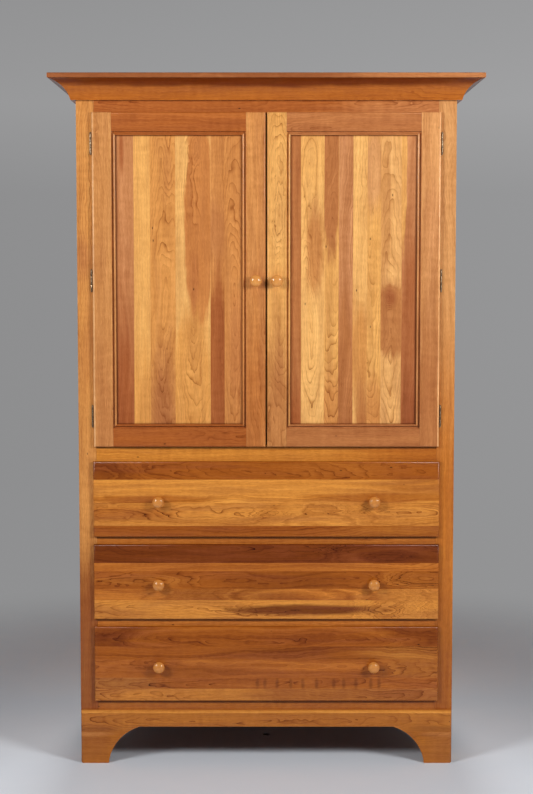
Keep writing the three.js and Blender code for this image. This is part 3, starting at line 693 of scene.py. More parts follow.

# %% [markdown]
# ## The doors' panels
# Each panel is a flat board glued up from staves of very different tones, and it floats in a groove so
# that it can swell. The two panels carry most of the cabinet's look, so their staves are listed one by one.
# A thin rim of each panel beside the frame is darkened with painted shade, where the bead shades it.

# %% Panel finishes
left_panel = wood(
    "rubbed cherry, left panel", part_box("door_left_panel"), "z", "x",
    [(-414,), (-361, "#c48250", -1.4, 50, 0.05, 0.11), (-316, STRAW, 2.6, 40, 0.04, 0.32),
     (-248, "#d7924c", 0.6, 12, 0.12, 0.53), (-152, "#e8ad64", 0.55, 8, -0.09, 0.71),
     (-114, AMBER, -1.4, 60, 0.03, 0.87), (-60, AMBER, 0.5, 10, 0.14, 0.05)],
    patches=[
        ((950, -388), (520, 60), BRICK, 0.95, 0.2, 0),
        ((1690, -392), (90, 9), BRICK, 0.8, 0.2, 0),
        ((930, -340), (300, 60), HONEY, 0.9, 0.3, 0),
        ((1500, -182), (330, 44), "#c87f42", 1.0, 0.8, 16),
        ((1330, -196), (120, 20), "#b9703d", 0.6, 0.2, 12),
        ((1690, -188), (60, 18), CLAY, 0.35, 0.1, -14),
        ((1010, -205), (300, 80), HONEY, 0.9, 0.6, 10),
        ((1470, -133), (150, 60), CLAY, 0.8, 0.2, 0),
        ((1090, -133), (340, 30), BRICK, 0.9, 0.6, 8),
        ((930, -282), (330, 60), CLAY, 0.95, 0.3, 16),
        ((1640, -268), (130, 20), AMBER, 0.6, 0.2, 12),
        ((1150, -80), (230, 40), "#c47c45", 0.7, 0.3, 8),
    ],
)
right_panel = wood(
    "rubbed cherry, right panel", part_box("door_right_panel"), "z", "x",
    [(60,), (93.5, CLAY, -2.0, 40, 0.04, 0.21), (157.5, SAP, 0.4, 8, 0.11, 0.44),
     (196, STRAW, 0.6, 14, -0.12, 0.66), (234.5, ROSY, 1.9, 50, 0.04, 0.83), (274, SAP, 1.9, 36, 0.04, 0.02),
     (311, STRAW, 0.3, 20, -0.07, 0.37), (367, "#e6aa66", 0.5, 8, 0.1, 0.58), (414, ROSY, 2.2, 45, 0.03, 0.93)],
    patches=[
        ((900, 78), (200, 40), BRICK, 0.8, 0.3, 0),
        ((1680, 120), (170, 60), STRAW, 0.8, 0.3, -16),
        ((1420, 132), (170, 34), "#c98548", 0.95, 0.4, 18),
        ((1610, 176), (240, 34), CLAY, 1.0, 0.7, 12),
        ((970, 176), (180, 60), AMBER, 0.9, 0.3, 0),
        ((1060, 215), (330, 40), CLAY, 0.95, 0.4, 0),
        ((1150, 256), (190, 60), "#d08a46", 0.8, 0.3, 0),
        ((920, 262), (260, 34), "#bd7840", 1.0, 0.2, 12),
        ((1640, 292), (160, 40), "#d2945f", 0.8, 0.4, -10),
        ((950, 292), (170, 60), AMBER, 0.9, 0.3, 0),
        ((1530, 322), (240, 22), "#cf8f50", 0.75, 0.5, 0),
        ((1232, 338), (118, 60), "#ba7742", 0.95, 0.7, 22),
        ((1292, 337), (44, 26), "#9f5930", 0.85, 0.15, 40),
        ((1710, 368), (330, 14), STRAW, 0.95, 0.85, 0),
        ((1080, 398), (520, 60), BRICK, 0.72, 0.5, 0),
        ((900, 396), (230, 40), "#8f4a26", 0.7, 0.3, 0),
    ],
)
print("panel finishes:", left_panel.name, "and", right_panel.name)

# %% Painted shade beside the doors' frames
def painted_rim_shade(material, box):
    """Painted shade: near the edge the colour is multiplied by a brown that fades out, from 6 mm to 13.5 mm
    away from it, where the bead shades the panel. The frame's groove hides the first 8 mm."""
    add = functools.partial(add_node, material.node_tree)
    middle, half = (box[0] + box[1]) / 2, (box[1] - box[0]) / 2
    at = add("TexCoord").outputs["Object"]
    at = add("VectorMath", (at, middle.tolist()), operation="SUBTRACT")
    at = add("VectorMath", (at,), operation="ABSOLUTE")
    room = add("VectorMath", (half.tolist(), at), operation="SUBTRACT")
    room = add("SeparateXYZ", (room,)).outputs
    nearest = add("Math", (room["X"], room["Z"]), operation="MINIMUM")
    unshaded = add("MapRange", {"Value": nearest, "From Min": 0.006, "From Max": 0.0135},
                interpolation_type="SMOOTHSTEP")
    brown = add("Mix", {"Factor": unshaded, "A": linear("#94765f"), "B": (1, 1, 1, 1)}, data_type="RGBA")
    shaded(material, brown.outputs["Result"])


# Each panel is darkened beside its frame: painted shade of the bead.
for hand, material in (("left", left_panel), ("right", right_panel)):
    node = f"door_{hand}_panel"
    painted_rim_shade(material, np.array(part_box(node)))
    piece(node + "_board", boxed(node, "xzy", 0.0003, 0.0003), f"door_{hand}", material, [node])

# %% [markdown]
# ## The doors' frames
# Stiles run the full height and the rails stand between them. A cutter has run a bead along their inner
# edges, with a narrow quirk beside it, and the beads meet in mitres. So each member here is two closed
# shapes: a board with eased outer edges, and a moulded strip between two mitred corner sections. The
# section is the same at each corner and slides out along the diagonal.

# %% The bead's section and the corner mitres
MM = 0.001
STILE_FLAT, RAIL_FLAT, EASE, LIP = 53 * MM, 52 * MM, 5 * MM, 9.5 * MM
bead_turn = np.linspace(np.pi, 0, 17)
bead_section = MM * np.concatenate((
    [[-1.5, 7.5], [4.7, 7.5]],
    np.column_stack((7.4 + 2.6 * np.cos(bead_turn), 4.4 - 2.6 * np.sin(bead_turn))),
    [[10, 9.5], [2, 9.5], [2, 16.1], [10, 16.1], [10, 19], [-1.5, 19]],
))


def lapped(low, high, room, front, back, rounds=EASE):
    """A board with a lip: the whole outline in front, and behind it only what lies inside the room, the
    rectangle that goes into the case's opening."""
    inner_low, inner_high = np.maximum(low, room[0]), np.minimum(high, room[1])
    return together(board(rectangle(low, high), front, front + LIP, "xzy", rounds, 0.0),
                    board(rectangle(inner_low, inner_high), front + LIP, back, "xzy", 0.0, 0.5 * MM))


def door_frame(hand, finishes):
    """Four members, each a board and a strip of bead skinned between the mitred sections of two corners."""
    sides = ("hinge_stile", "meeting_stile") if hand == "left" else ("meeting_stile", "hinge_stile")
    x0, x1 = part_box(f"door_{hand}_{sides[0]}")[0][0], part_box(f"door_{hand}_{sides[1]}")[1][0]
    (_, front, z0), (_, back, z1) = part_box(f"door_{hand}_hinge_stile")
    x_in, x_out, z_in, z_out = x0 + STILE_FLAT, x1 - STILE_FLAT, z0 + RAIL_FLAT, z1 - RAIL_FLAT
    laps = (LIP, 0) if hand == "left" else (0, LIP)
    room = (x0 + laps[0], z0 + LIP), (x1 - laps[1], z1 - LIP)
    inward = np.array([[1, 1], [-1, 1], [-1, -1], [1, -1]])
    corners = [laid(x + sx * bead_section[:, 0], z + sz * bead_section[:, 0], front + bead_section[:, 1], "xzy")
               for (x, z), (sx, sz) in zip(rectangle((x_in, z_in), (x_out, z_out)), inward)]
    # A rail's ends stop this far short of the stiles, and have a round of the same size.
    tight = 0.15 * MM
    flats = {
        "bottom_rail": ((x_in + tight, z0), (x_out - tight, z_in), (EASE, tight, 2 * tight, tight)),
        sides[1]: ((x_out, z0), (x1, z1), (EASE, EASE, EASE, 2 * tight)),
        "top_rail": ((x_in + tight, z_out), (x_out - tight, z1), (2 * tight, tight, EASE, tight)),
        sides[0]: ((x0, z0), (x_in, z1), (EASE, 2 * tight, EASE, EASE)),
    }
    for i, (member, (low, high, rounds)) in enumerate(flats.items()):
        node = f"door_{hand}_{member}"
        flat = lapped(low, high, room, front, back, rounds)
        bead = skin(np.array([corners[i], corners[(i + 1) % 4]]))
        piece(node + "_moulded", together(flat, bead), f"door_{hand}", finishes[node], [node])


print("bead section points:", len(bead_section))

# %% Frame finishes, one log for each member
door_members = {
    "door_left_hinge_stile": ("z", "x", "#ca894d", -0.6, 30, 0.05, 0.15),
    "door_left_meeting_stile": ("z", "x", "#d58f4e", 1.4, 24, -0.06, 0.35),
    "door_left_top_rail": ("x", "z", RUSSET, -1.0, 40, 0.06, 0.55),
    "door_left_bottom_rail": ("x", "z", "#a85b25", 0.5, 18, 0.05, 0.75),
    "door_right_hinge_stile": ("z", "x", "#d6955a", 1.6, 40, 0.04, 0.95),
    "door_right_meeting_stile": ("z", "x", STRAW, 0.5, 8, 0.11, 0.25),
    "door_right_top_rail": ("x", "z", "#ba7441", 0.4, 16, -0.06, 0.45),
    "door_right_bottom_rail": ("x", "z", CLAY, 0.7, 12, 0.05, 0.65),
}
stile_patches = {
    "door_left_hinge_stile": [((960, -440), (330, 60), CLAY, 0.6, 0.1, 0)],
    "door_left_meeting_stile": [((980, -30), (420, 60), RUSSET, 0.7, 0.2, 8),
                                ((1400, -12), (420, 13), CLAY, 0.4, 0.5, 0)],
    "door_right_meeting_stile": [((960, 30), (430, 60), CLAY, 0.85, 0.2, 10),
                                 ((1500, 34), (160, 26), SAP, 0.5, 0.2, 22)],
    "door_right_hinge_stile": [((950, 440), (520, 60), CLAY, 0.95, 0.2, 0),
                               ((1480, 450), (200, 30), ROSY, 0.6, 0.2, 0)],
}


def rubbed(staves, tone, highlight_width, top):
    """Gives the outer strip of a board a paler tone, a painted highlight along its round. The strip
    is a stave of its own with the same log, so the figure runs through it."""
    place = len(staves) - 1 if top else 1
    edge, colour, pith, *log = staves[place]
    start = staves[place - 1][0]
    cut = edge - highlight_width if top else start + highlight_width
    tones = (colour, tone) if top else (tone, colour)
    centre = start + pith * (edge - start)
    parts = [(high, own, (centre - low) / (high - low), *log)
             for low, high, own in zip((start, cut), (cut, edge), tones)]
    return [*staves[:place], *parts, *staves[place + 1:]]


# Width in mm of the painted highlight, a paler strip, along each door's outer edge.
DOOR_HIGHLIGHT_WIDTH = 4.5


def one_board(node, grain, across, tone, pith, depth, lean, shift, lighter=None, **figure):
    """The finish of a node cut from a single board. A lighter tone, if given, paints a highlight on its outer
    strip.
    """
    low, high = span(node, across)
    staves = [(low,), (high, tone, pith, depth, lean, shift)]
    if lighter:
        staves = rubbed(staves, lighter, DOOR_HIGHLIGHT_WIDTH, top=high > 0)
    return wood("rubbed cherry, " + node.replace("_", " "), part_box(node), grain, across, staves, **figure)


# Painted highlight: the hinge stiles get a paler strip along their outer rounded edges.
painted_highlight_edges = {"door_left_hinge_stile": "#eab077", "door_right_hinge_stile": "#f6b679"}
door_finishes = {node: one_board(node, *facts, patches=stile_patches.get(node, ()), streak=0.5,
                                 lighter=painted_highlight_edges.get(node))
                 for node, facts in door_members.items()}
door_frame("left", door_finishes)
door_frame("right", door_finishes)
print("door frame members:", len(door_finishes))

# %% [markdown]
# ## The drawer fronts
# Each front is glued up from four or five staves laid flat, with the darkest at the top. A round of
# about 5 mm on all four edges catches the light in a thin line, as on the doors.

# %% Drawer fronts
drawer_staves = {
    "upper": [(633,), (663.5, CHESTNUT, 1.8, 30, 0.04, 0.12), (727, "#d08536", 0.6, 6, 0.05, 0.31),
              (791.5, GOLD, -0.3, 14, -0.04, 0.52), (842, CHESTNUT, 0.4, 10, 0.09, 0.77)],
    "middle": [(403.5,), (457.2, GOLD, 0.5, 6, 0.05, 0.08), (489, OCHRE, 2.0, 30, 0.05, 0.27),
               (537.7, CHESTNUT, 0.5, 8, 0.06, 0.46), (560.8, OCHRE, 2.4, 40, 0.04, 0.64),
               (612.5, COCOA, 0.8, 18, 0.06, 0.85)],
    "lower": [(174,), (208.4, "#cd8235", 0.5, 10, 0.05, 0.18), (239.9, UMBER, 0.5, 10, 0.05, 0.39),
              (291.3, UMBER, 0.6, 14, 0.05, 0.57), (327.8, CHESTNUT, 1.7, 30, 0.04, 0.79),
              (383, CHESTNUT, 0.3, 8, -0.06, 0.97)],
}
drawer_patches = {
    "upper": [((-330, 737), (260, 13), "#b5681f", 0.9, 0.5, 8), ((-440, 815), (130, 40), COCOA, 0.6, 0.2, 24),
              ((330, 742), (300, 16), "#b5681f", 0.9, 0.5, 8), ((-400, 700), (260, 24), OCHRE, 0.7, 0.3, 10),
              ((200, 820), (260, 40), "#ab601f", 0.7, 0.2, 16),
              ((380, 648), (260, 40), "#b06722", 0.8, 0.2, 10),
              ((440, 770), (180, 50), "#b56b26", 0.7, 0.3, 8), ((140, 690), (230, 60), GOLD, 0.0, 0.5, 60)],
    "middle": [((100, 430), (270, 19), "#7a3e0e", 1.0, 0.5, 20), ((60, 513), (260, 60), COCOA, 0.5, 0.3, 14),
               ((-60, 549), (330, 60), CHESTNUT, 0.35, 0.4, 8),
               ((400, 473), (200, 40), "#c97f34", 0.8, 0.3, 12),
               ((-130, 473), (260, 60), "#9a561c", 0.7, 0.3, 0), ((60, 473), (460, 80), OCHRE, 0.0, 0.5, 190),
               ((-330, 513), (200, 20), "#b46a26", 0.8, 0.3, 14),
               ((420, 513), (180, 40), "#ab6220", 0.8, 0.3, 30),
               ((330, 590), (240, 40), "#6b2f08", 0.7, 0.3, 40), ((330, 430), (170, 70), GOLD, 0.0, 0.5, 70)],
    "lower": [((270, 190), (360, 60), "#ab6429", 0.9, 0.6, 6), ((-400, 225), (180, 40), "#a9672c", 0.9, 0.2, 8),
              ((100, 300), (300, 60), COCOA, 0.4, 0.3, 10), ((400, 310), (190, 60), "#ae6826", 0.9, 0.2, 12),
              ((-200, 262), (260, 30), "#8e4814", 0.6, 0.3, 12),
              ((430, 265), (180, 60), "#ae6726", 0.8, 0.3, 20),
              ((-420, 355), (160, 60), COCOA, 0.5, 0.2, 20), ((430, 355), (160, 60), COCOA, 0.4, 0.2, 20)],
}
# Where the fibres of the lowest drawer dip, they show as short dark bars across the grain.
drawer_patches["lower"] += [((x, 224), (8, 24), "#763c12", 0.65, 0.2, 0)
                            for x in (-25, -4, 30, 67, 101, 139, 187, 214, 248, 289, 312)]
for name, staves in drawer_staves.items():
    node = f"drawer_{name}_front"
    material = wood(f"rubbed cherry, {name} drawer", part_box(node), "x", "z", staves, drawer_patches[name],
                    lines=1.1, streak=0.5, curl=0.25, drift=0.6, bands=1.1)
    (x0, y0, z0), (x1, y1, z1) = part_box(node)
    room = (x0 + LIP, z0 + LIP), (x1 - LIP, z1 - LIP)
    shape = lapped((x0, z0), (x1, z1), room, y0, y1)
    piece(node + "_board", shape, f"drawer_{name}", material, [node])
print("drawer fronts:", len(drawer_staves))

# %% [markdown]
# ## The face frame, the sides and the cap
# Flat boards with a fine arris. The frame's members are set edge to edge, so light and dark wood meet
# in crisp joints. The cap's front and end edges are softly rounded above and below.

# %% Face frame
frame_members = {
    "stile_left": ("z", "x", "#d08c48", 1.8, 36, 0.03, 0.07),
    "stile_right": ("z", "x", "#cd9056", -0.8, 36, 0.03, 0.26),
    "rail_bottom": ("x", "z", "#a65f22", 1.6, 30, 0.03, 0.45),
    "rail_lower": ("x", "z", OCHRE, -0.9, 30, 0.03, 0.63),
    "rail_upper": ("x", "z", OCHRE, 1.9, 30, 0.03, 0.81),
    "rail_middle": ("x", "z", "#d08431", -1.2, 40, 0.03, 0.99),
    "rail_top": ("x", "z", RUSSET, 0.4, 16, 0.05, 0.16),
}
frame_patches = {
    "stile_left": [((250, -491), (440, 90), "#955222", 1.0, 0.5, 0),
                   ((1400, -500), (90, 40), CLAY, 0.7, 0.2, 0),
                   ((1130, -491), (130, 60), "#c07c40", 0.6, 0.2, 0)],
    "stile_right": [((600, 491), (800, 190), OCHRE, 1.0, 0.2, 0),
                    ((150, 491), (400, 190), "#a1581a", 0.9, 0.3, 0)],
    "rail_middle": [((440, 862), (300, 60), "#b5661f", 0.95, 0.2, 0)],
    "rail_top": [((400, 1790), (300, 60), "#c47e49", 0.8, 0.3, 0)],
}
# Painted shadow: a dark strip on each rail just under the edge of the door or drawer above it, where that edge
# shades the rail.
edges_above = {"rail_middle": "door_left_bottom_rail", "rail_upper": "drawer_upper_front",
               "rail_lower": "drawer_middle_front", "rail_bottom": "drawer_lower_front"}
for node, above in edges_above.items():
    painted_shadow = ((0, span(above, "z")[0] - 3), (900, 7), "#4a2208", 0.55, 0.5, 0)
    frame_patches[node] = [*frame_patches.get(node, []), painted_shadow]
for node, facts in frame_members.items():
    piece(node + "_board", boxed(node, "xzy", 0.4 * MM, 0.4 * MM), "case",
          one_board(node, *facts, patches=frame_patches.get(node, ()), streak=0.5), [node])

cap_low, cap_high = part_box("top_cap")
cap_rounds = np.array([2.5, 2.5, 0.5, 2.5]) * MM
cap_shape = board(rectangle(cap_low[:2], cap_high[:2]), cap_high[2], cap_low[2], "xyz", cap_rounds, cap_rounds)
cap_staves = glued_up(*span("top_cap", "y"), seed=8, tones=(BRICK, CLAY, RUSSET))
# The front stave is listed on its own, because its edge shows above the crown.
cap_staves[1] = (cap_staves[1][0], "#9a5930", 0.4, 14, 0.03, 0.5)
cap_finish = wood("rubbed cherry, cap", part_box("top_cap"), "x", "y", cap_staves,
                  [((480, cap_staves[0][0] + 10), (420, 60), "#bf7a47", 1.0, 0.35, 0)],
                  roughness=0.18, shine=0.15)
piece("top_cap_board", cap_shape, "case", cap_finish, ["top_cap"])
print("face frame members:", len(frame_members))

# %% [markdown]
# ## The arched feet
# The plinth and both sides stand on feet, and the wood between is sawn away in an arch: a quarter sweep
# of about 120 mm radius that ends at a small step, where the straight top begins. The arc is worked out
# from its two ends and its radius, as a carpenter would set it out from a chord.

# %% Arched outlines
FOOT, ARCH_RUN, ARCH_RISE, ARCH_STEP, ARCH_RADIUS = (v * MM for v in (77.6, 82.5, 101.3, 1.6, 120))


def arc(start, end, sweep, steps):
    """Points of the arc that turns right by the sweep on its way from start to end. Its radius is
    chord / (2 sin(sweep / 2)), and its centre lies a radius to the right of the first direction."""
    along = np.subtract(end, start)
    radius = np.hypot(*along) / (2 * math.sin(sweep / 2))
    first = math.atan2(along[1], along[0]) + math.pi / 2 + sweep / 2
    centre = np.subtract(start, radius * np.array([math.cos(first), math.sin(first)]))
    angles = first - sweep * np.linspace(0, 1, steps + 1)
    return centre + radius * np.column_stack((np.cos(angles), np.sin(angles)))


def arch(left_foot, right_foot):
    """The lower edge of a board between its feet, from left to right."""
    sweep = 2 * math.asin(math.hypot(ARCH_RUN, ARCH_RISE) / (2 * ARCH_RADIUS))
    rise = arc((0, 0), (ARCH_RUN, ARCH_RISE), sweep, 24)
    half = np.concatenate((rise, [[ARCH_RUN, ARCH_RISE + ARCH_STEP]]))
    return np.concatenate((half + (left_foot, 0), (half * (-1, 1) + (right_foot, 0))[::-1]))


arch_top = ARCH_RISE + ARCH_STEP
print("arch height:", arch_top)

# %% Plinth
plinth_low, plinth_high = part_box("plinth_front")
chamfer = 2.5 * MM
case_left, case_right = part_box("stile_left")[0][0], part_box("stile_right")[1][0]
plinth_outline = np.concatenate((
    [[plinth_low[0] + chamfer, 0]],
    arch(case_left + FOOT, case_right - FOOT),
    [[plinth_high[0] - chamfer, 0], [plinth_high[0], chamfer], [plinth_high[0], plinth_high[2]],
     [plinth_low[0], plinth_high[2]], [plinth_low[0], chamfer]],
))
top_corners, chamfer_corners = [-4, -3, -2], [-5, -1]
plinth_rounds = np.full(len(plinth_outline), 0.5 * MM)
plinth_rounds[top_corners] = np.array([6, 9, 6]) * MM
plinth_rounds[chamfer_corners] = 4 * MM
plinth_shape = board(plinth_outline, plinth_low[1], plinth_high[1], "xzy", plinth_rounds, 0.3 * MM, curved=True)
# The plinth's top strip gets a paler tone, a painted highlight along its top round, this many mm wide.
PLINTH_HIGHLIGHT_WIDTH = 6.5
plinth_staves = [(0,), (88, "#b0671f", 1.4, 30, 0.03, 0.22), (147, "#b36b26", 0.5, 8, 0.05, 0.48)]
plinth_patches = [
    ((-500, 60), (110, 90), "#a05c24", 0.8, 0.3, 0),
    ((500, 40), (80, 90), "#a8642a", 0.8, 0.3, 0),
    ((-500, 82), (110, 11), "#c68040", 0.8, 0.2, 0),
    ((500, 82), (100, 11), "#c68040", 0.7, 0.2, 0),
    ((-490, 97), (140, 14), "#93541f", 0.8, 0.2, 0),
    ((490, 97), (130, 14), "#93541f", 0.7, 0.2, 0),
]
plinth_finish = wood("rubbed cherry, plinth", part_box("plinth_front"), "x", "z",
                     rubbed(plinth_staves, "#d68c3d", PLINTH_HIGHLIGHT_WIDTH, top=True), plinth_patches,
                     lines=0.9, streak=0.5)
piece("plinth_front_board", plinth_shape, "case", plinth_finish, ["plinth_front"])
print("plinth points:", len(plinth_outline))

# %% Sides, each of two leaves so that the back's rabbet is open
RABBET = 10 * MM
# The arch of a side starts one foot's width behind the face frame's front.
FRAME_FRONT = -270.5 * MM
for hand, outward in (("left", -1), ("right", 1)):
    node = f"side_{hand}"
    low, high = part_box(node)
    outer, inner = (low[0], high[0]) if hand == "left" else (high[0], low[0])
    step = inner + outward * RABBET
    back_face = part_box("back_panel")[0][1]
    lower_edge = np.concatenate(([[low[1], 0]], arch(FRAME_FRONT + FOOT, high[1] - FOOT), [[high[1], 0]]))
    whole = np.concatenate((lower_edge, [[high[1], high[2]], [low[1], high[2]]]))
    notched = np.concatenate((lower_edge, [[high[1], arch_top], [back_face, arch_top], [back_face, high[2]],
                                           [low[1], high[2]]]))
    shape = together(board(whole, outer, step, "yzx", 0.5 * MM, 0.0, curved=True),
                     board(notched, step, inner, "yzx", 0.0, 0.4 * MM, curved=True))
    material = wood(f"rubbed cherry, {hand} side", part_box(node), "z", "y",
                    glued_up(*span(node, "y"), seed=21 if hand == "left" else 34))
    piece(node + "_board", shape, "case", material, [node])
print("side height:", round(high[2], 4))

# %% [markdown]
# ## The crown
# A cove moulding run in one length, then cut in mitres at the front corners. Its foot stands 13 mm from
# the case and the cove sweeps out to 67 mm under the cap, where its colour darkens in a band along the top.
# The section is one arc between two short flats, carried straight along the front and along each side.

# %% Crown moulding
CROWN_FOOT, CROWN_OUT, CROWN_SWEEP = 13 * MM, 67 * MM, math.radians(64)
crown_low, crown_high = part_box("crown_front")
cove = arc((CROWN_FOOT, crown_low[2]), (CROWN_OUT, crown_high[2]), CROWN_SWEEP, 28)
crown_section = np.concatenate(([[0.3 * MM, crown_low[2]]], cove, [[0.3 * MM, crown_high[2]]]))
out, up = crown_section.T
frame_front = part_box("stile_left")[0][1]
crown_facts = {
    "crown_front": ("x", "z", "#b3631f", -0.7, 26, 0.02, 0.52),
    "crown_left": ("y", "z", "#b3631f", 1.5, 30, 0.03, 0.41),
    "crown_right": ("y", "z", "#b3631f", -0.5, 30, 0.03, 0.69),
}
for node, facts in crown_facts.items():
    if node == "crown_front":
        ends = [laid(x + side * out, frame_front - out, up, "xyz")
                for x, side in ((case_left, -1), (case_right, 1))]
    else:
        x, side = (case_left, -1) if node == "crown_left" else (case_right, 1)
        back = np.full(len(out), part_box(node)[1][1])
        ends = [laid(x + side * out, y, up, "xyz") for y in (frame_front - out, back)]
    # The colour darkens in a band along the top of the cove, right under the cap.
    dark_edge = ((sum(span(node, facts[0])) / 2, 1000 * crown_high[2] - 4), (900, 21), "#74300a", 1.0, 0.5, 0)
    crown_finish = one_board(node, *facts, patches=[dark_edge], lines=0.9, streak=0.5)
    piece(node + "_moulding", skin(np.array(ends)), "case", crown_finish, [node])
print("crown section points:", len(crown_section))

# %% [markdown]
# ## The knobs
# Turned on a lathe from a paler wood, with a waisted neck and a domed head. Spinning a profile round the
# knob's axis makes the same shape. The grain runs along the axis, so the dome shows end grain.

# %% Turned shapes
def turned(profile, centre, axis, around=40):
    """Each profile point (r, h) becomes a ring: centre + h axis + r (cos t side + sin t up)."""
    profile = np.asarray(profile, float)
    axis = np.asarray(axis, float)
    side = np.roll(axis, 1)
    up = np.cross(axis, side)
    t = np.linspace(0, 2 * np.pi, around + 1)[:-1]
    circle = np.outer(np.cos(t), side) + np.outer(np.sin(t), up)
    rings = np.asarray(centre) + profile[:, 1, None, None] * axis + profile[:, 0, None, None] * circle
    return skin(rings)


def smooth_through(points, steps=6):
    """A Catmull-Rom curve: between p1 and p2 it is half of 2 p1 + (p2 - p0) t + (2 p0 - 5 p1 + 4 p2 - p3) t^2
    + (3 p1 - p0 - 3 p2 + p3) t^3."""
    p = np.asarray(points, float)
    p = np.concatenate(([2 * p[0] - p[1]], p, [2 * p[-1] - p[-2]]))
    t = np.linspace(0, 1, steps + 1)[:-1, None]
    spans = [(2 * b + (c - a) * t + (2 * a - 5 * b + 4 * c - d) * t ** 2 + (3 * b - a - 3 * c + d) * t ** 3) / 2
             for a, b, c, d in zip(p[:-3], p[1:-2], p[2:-1], p[3:])]
    return np.concatenate(spans + [p[-2:-1]])


knob_profile = MM * np.concatenate((
    [[0.3, -12], [4.6, -12], [4.75, -11.8], [4.75, 0.2], [9.3, 0.2]],
    smooth_through([[9.5, 0.4], [8.3, 2.6], [7.5, 6], [8.6, 9.5], [11.9, 12.9], [14.9, 15.6], [16, 18.6],
                    [15.5, 21.6], [13.6, 24.6], [10.6, 27], [6.5, 28.5], [2.5, 28.95], [0.3, 29]], steps=4),
))
print("knob rings:", len(knob_profile))

# %% Eight knobs
KNOB_REACH = 29 * MM
knobs = [(f"door_{hand}_knob", f"door_{hand}") for hand in ("left", "right")]
knobs += [(f"drawer_{name}_knob_{side}", f"drawer_{name}") for name in drawer_staves
          for side in ("left", "right")]
for i, (node, body) in enumerate(knobs):
    low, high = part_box(node)
    centre = ((low[0] + high[0]) / 2, low[1] + KNOB_REACH, (low[2] + high[2]) / 2)
    knob_tone = "#de964b" if body.startswith("door") else "#d0853a"
    knob_finish = wood(f"lacquered birch, {node.replace('_', ' ')}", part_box(node), "y", "x",
                       [(1000 * low[0],), (1000 * high[0], knob_tone, 0.5, 8 + 3 * i, 0.1, 0.11 * i)],
                       heart="#c88040", roughness=-0.09, shine=0.62, bump=0.1, lines=0.16, streak=0.08,
                       flecks=0.0, spacing=3.0)
    piece(node + "_turned", turned(knob_profile, centre, (0, -1, 0)), body, knob_finish, [node])
print("knobs:", len(knobs))

# %% [markdown]
# ## The hinges
# Each door hangs on three barrel hinges with ball tips, in brass that was toned to a dull bronze. The
# case's leaf carries the two outer knuckles, the pin and the balls, and wraps round the stile's inner
# edge. The door's leaf carries the middle knuckle. Knuckles and balls are turned shapes, the leaves are
# thin boards, and the screws are low turned domes.

# %% Toned brass
def toned_brass():
    """Old brass: a metal whose hollows went brown, and whose touched places stayed a little brighter."""
    material, add = empty_material("toned brass")
    at = add("TexCoord").outputs["Object"]
    cloud = add("TexNoise", {"Vector": at, "Scale": 160.0, "Detail": 4.0, "Roughness": 0.6})
    speck = add("TexNoise", {"Vector": at, "Scale": 1400.0, "Detail": 2.0})
    lighter = add("MapRange", {"Value": cloud, "From Min": 0.4, "From Max": 0.65})
    tint = add("Mix", {"Factor": lighter, "A": linear("#6f5b48"), "B": linear("#a18c72")}, data_type="RGBA")
    rough = add("MapRange", {"Value": cloud, "From Min": 0.35, "From Max": 0.7, "To Min": 0.42, "To Max": 0.28})
    raised = add("Bump", {"Height": speck, "Strength": 0.2, "Distance": 0.0001})
    surface = add("BsdfPrincipled", {"Base Color": tint.outputs["Result"], "Metallic": 1.0, "Roughness": rough,
                                     "Normal": raised})
    add("OutputMaterial", {"Surface": surface})
    return material


brass = toned_brass()
print("hinge finish:", brass.name)

# %% Barrel parts and leaves
UP = (0, 0, 1)
BARREL, TIP = 3 * MM, 2.6 * MM
KNUCKLES = np.array([-27, -12.42, 12.42, 27]) * MM


def knuckle(x, y, low, high):
    """A short tube's outside, with its ends rounded by 0.35 mm."""
    soft = 0.35 * MM
    t = np.linspace(0, np.pi / 2, 4)
    end = np.column_stack((BARREL - soft + soft * np.sin(t), soft - soft * np.cos(t)))
    profile = np.concatenate((end + (0, low), (end * (1, -1) + (0, high))[::-1]))
    return turned(profile, (x, y, 0), UP, 28)


def ball_tip(x, y, base, direction):
    """A ball on a short neck: its rings follow a circle from the neck round to the pole."""
    t = np.linspace(-1.1, np.pi / 2 - 0.06, 12)
    ball = np.column_stack((TIP * np.cos(t), 1.6 * MM + TIP * np.sin(t)))
    return turned(np.concatenate(([[1.2 * MM, -0.5 * MM]], ball)), (x, y, base), (0, 0, direction), 24)


def screw_head(centre, axis):
    """A low domed head with a dimple for the driver."""
    profile = MM * np.array([[3.1, -0.3], [3.1, 0.05], [2.7, 0.4], [1.9, 0.62], [1.2, 0.66], [0.9, 0.3],
                             [0.2, 0.1]])
    return turned(profile, centre, axis, 20)


def leaf(low, high, thin):
    """A thin plate between two corners, with its rounds on the two large faces."""
    u, v = [axis for axis in "xyz" if axis != thin]
    w = PLACES[thin]
    outline = rectangle((low[PLACES[u]], low[PLACES[v]]), (high[PLACES[u]], high[PLACES[v]]))
    return board(outline, low[w], high[w], u + v + thin, 0.25 * MM, 0.25 * MM, steps=3)


def plates(x, y, inward, rows):
    """One thin plate for each row: how far inward from the pin it starts and ends, how far behind the pin, its
    two heights and the axis that it is thin along."""
    made = []
    for (near, far), (front, back), heights, thin in rows:
        ends = [(x + inward * near * MM, x + inward * far * MM), (y + front * MM, y + back * MM), heights]
        low, high = np.sort(np.array(ends), axis=1).T
        made.append(leaf(low, high, thin))
    return made


print("knuckle lengths:", np.diff(KNUCKLES) / MM)

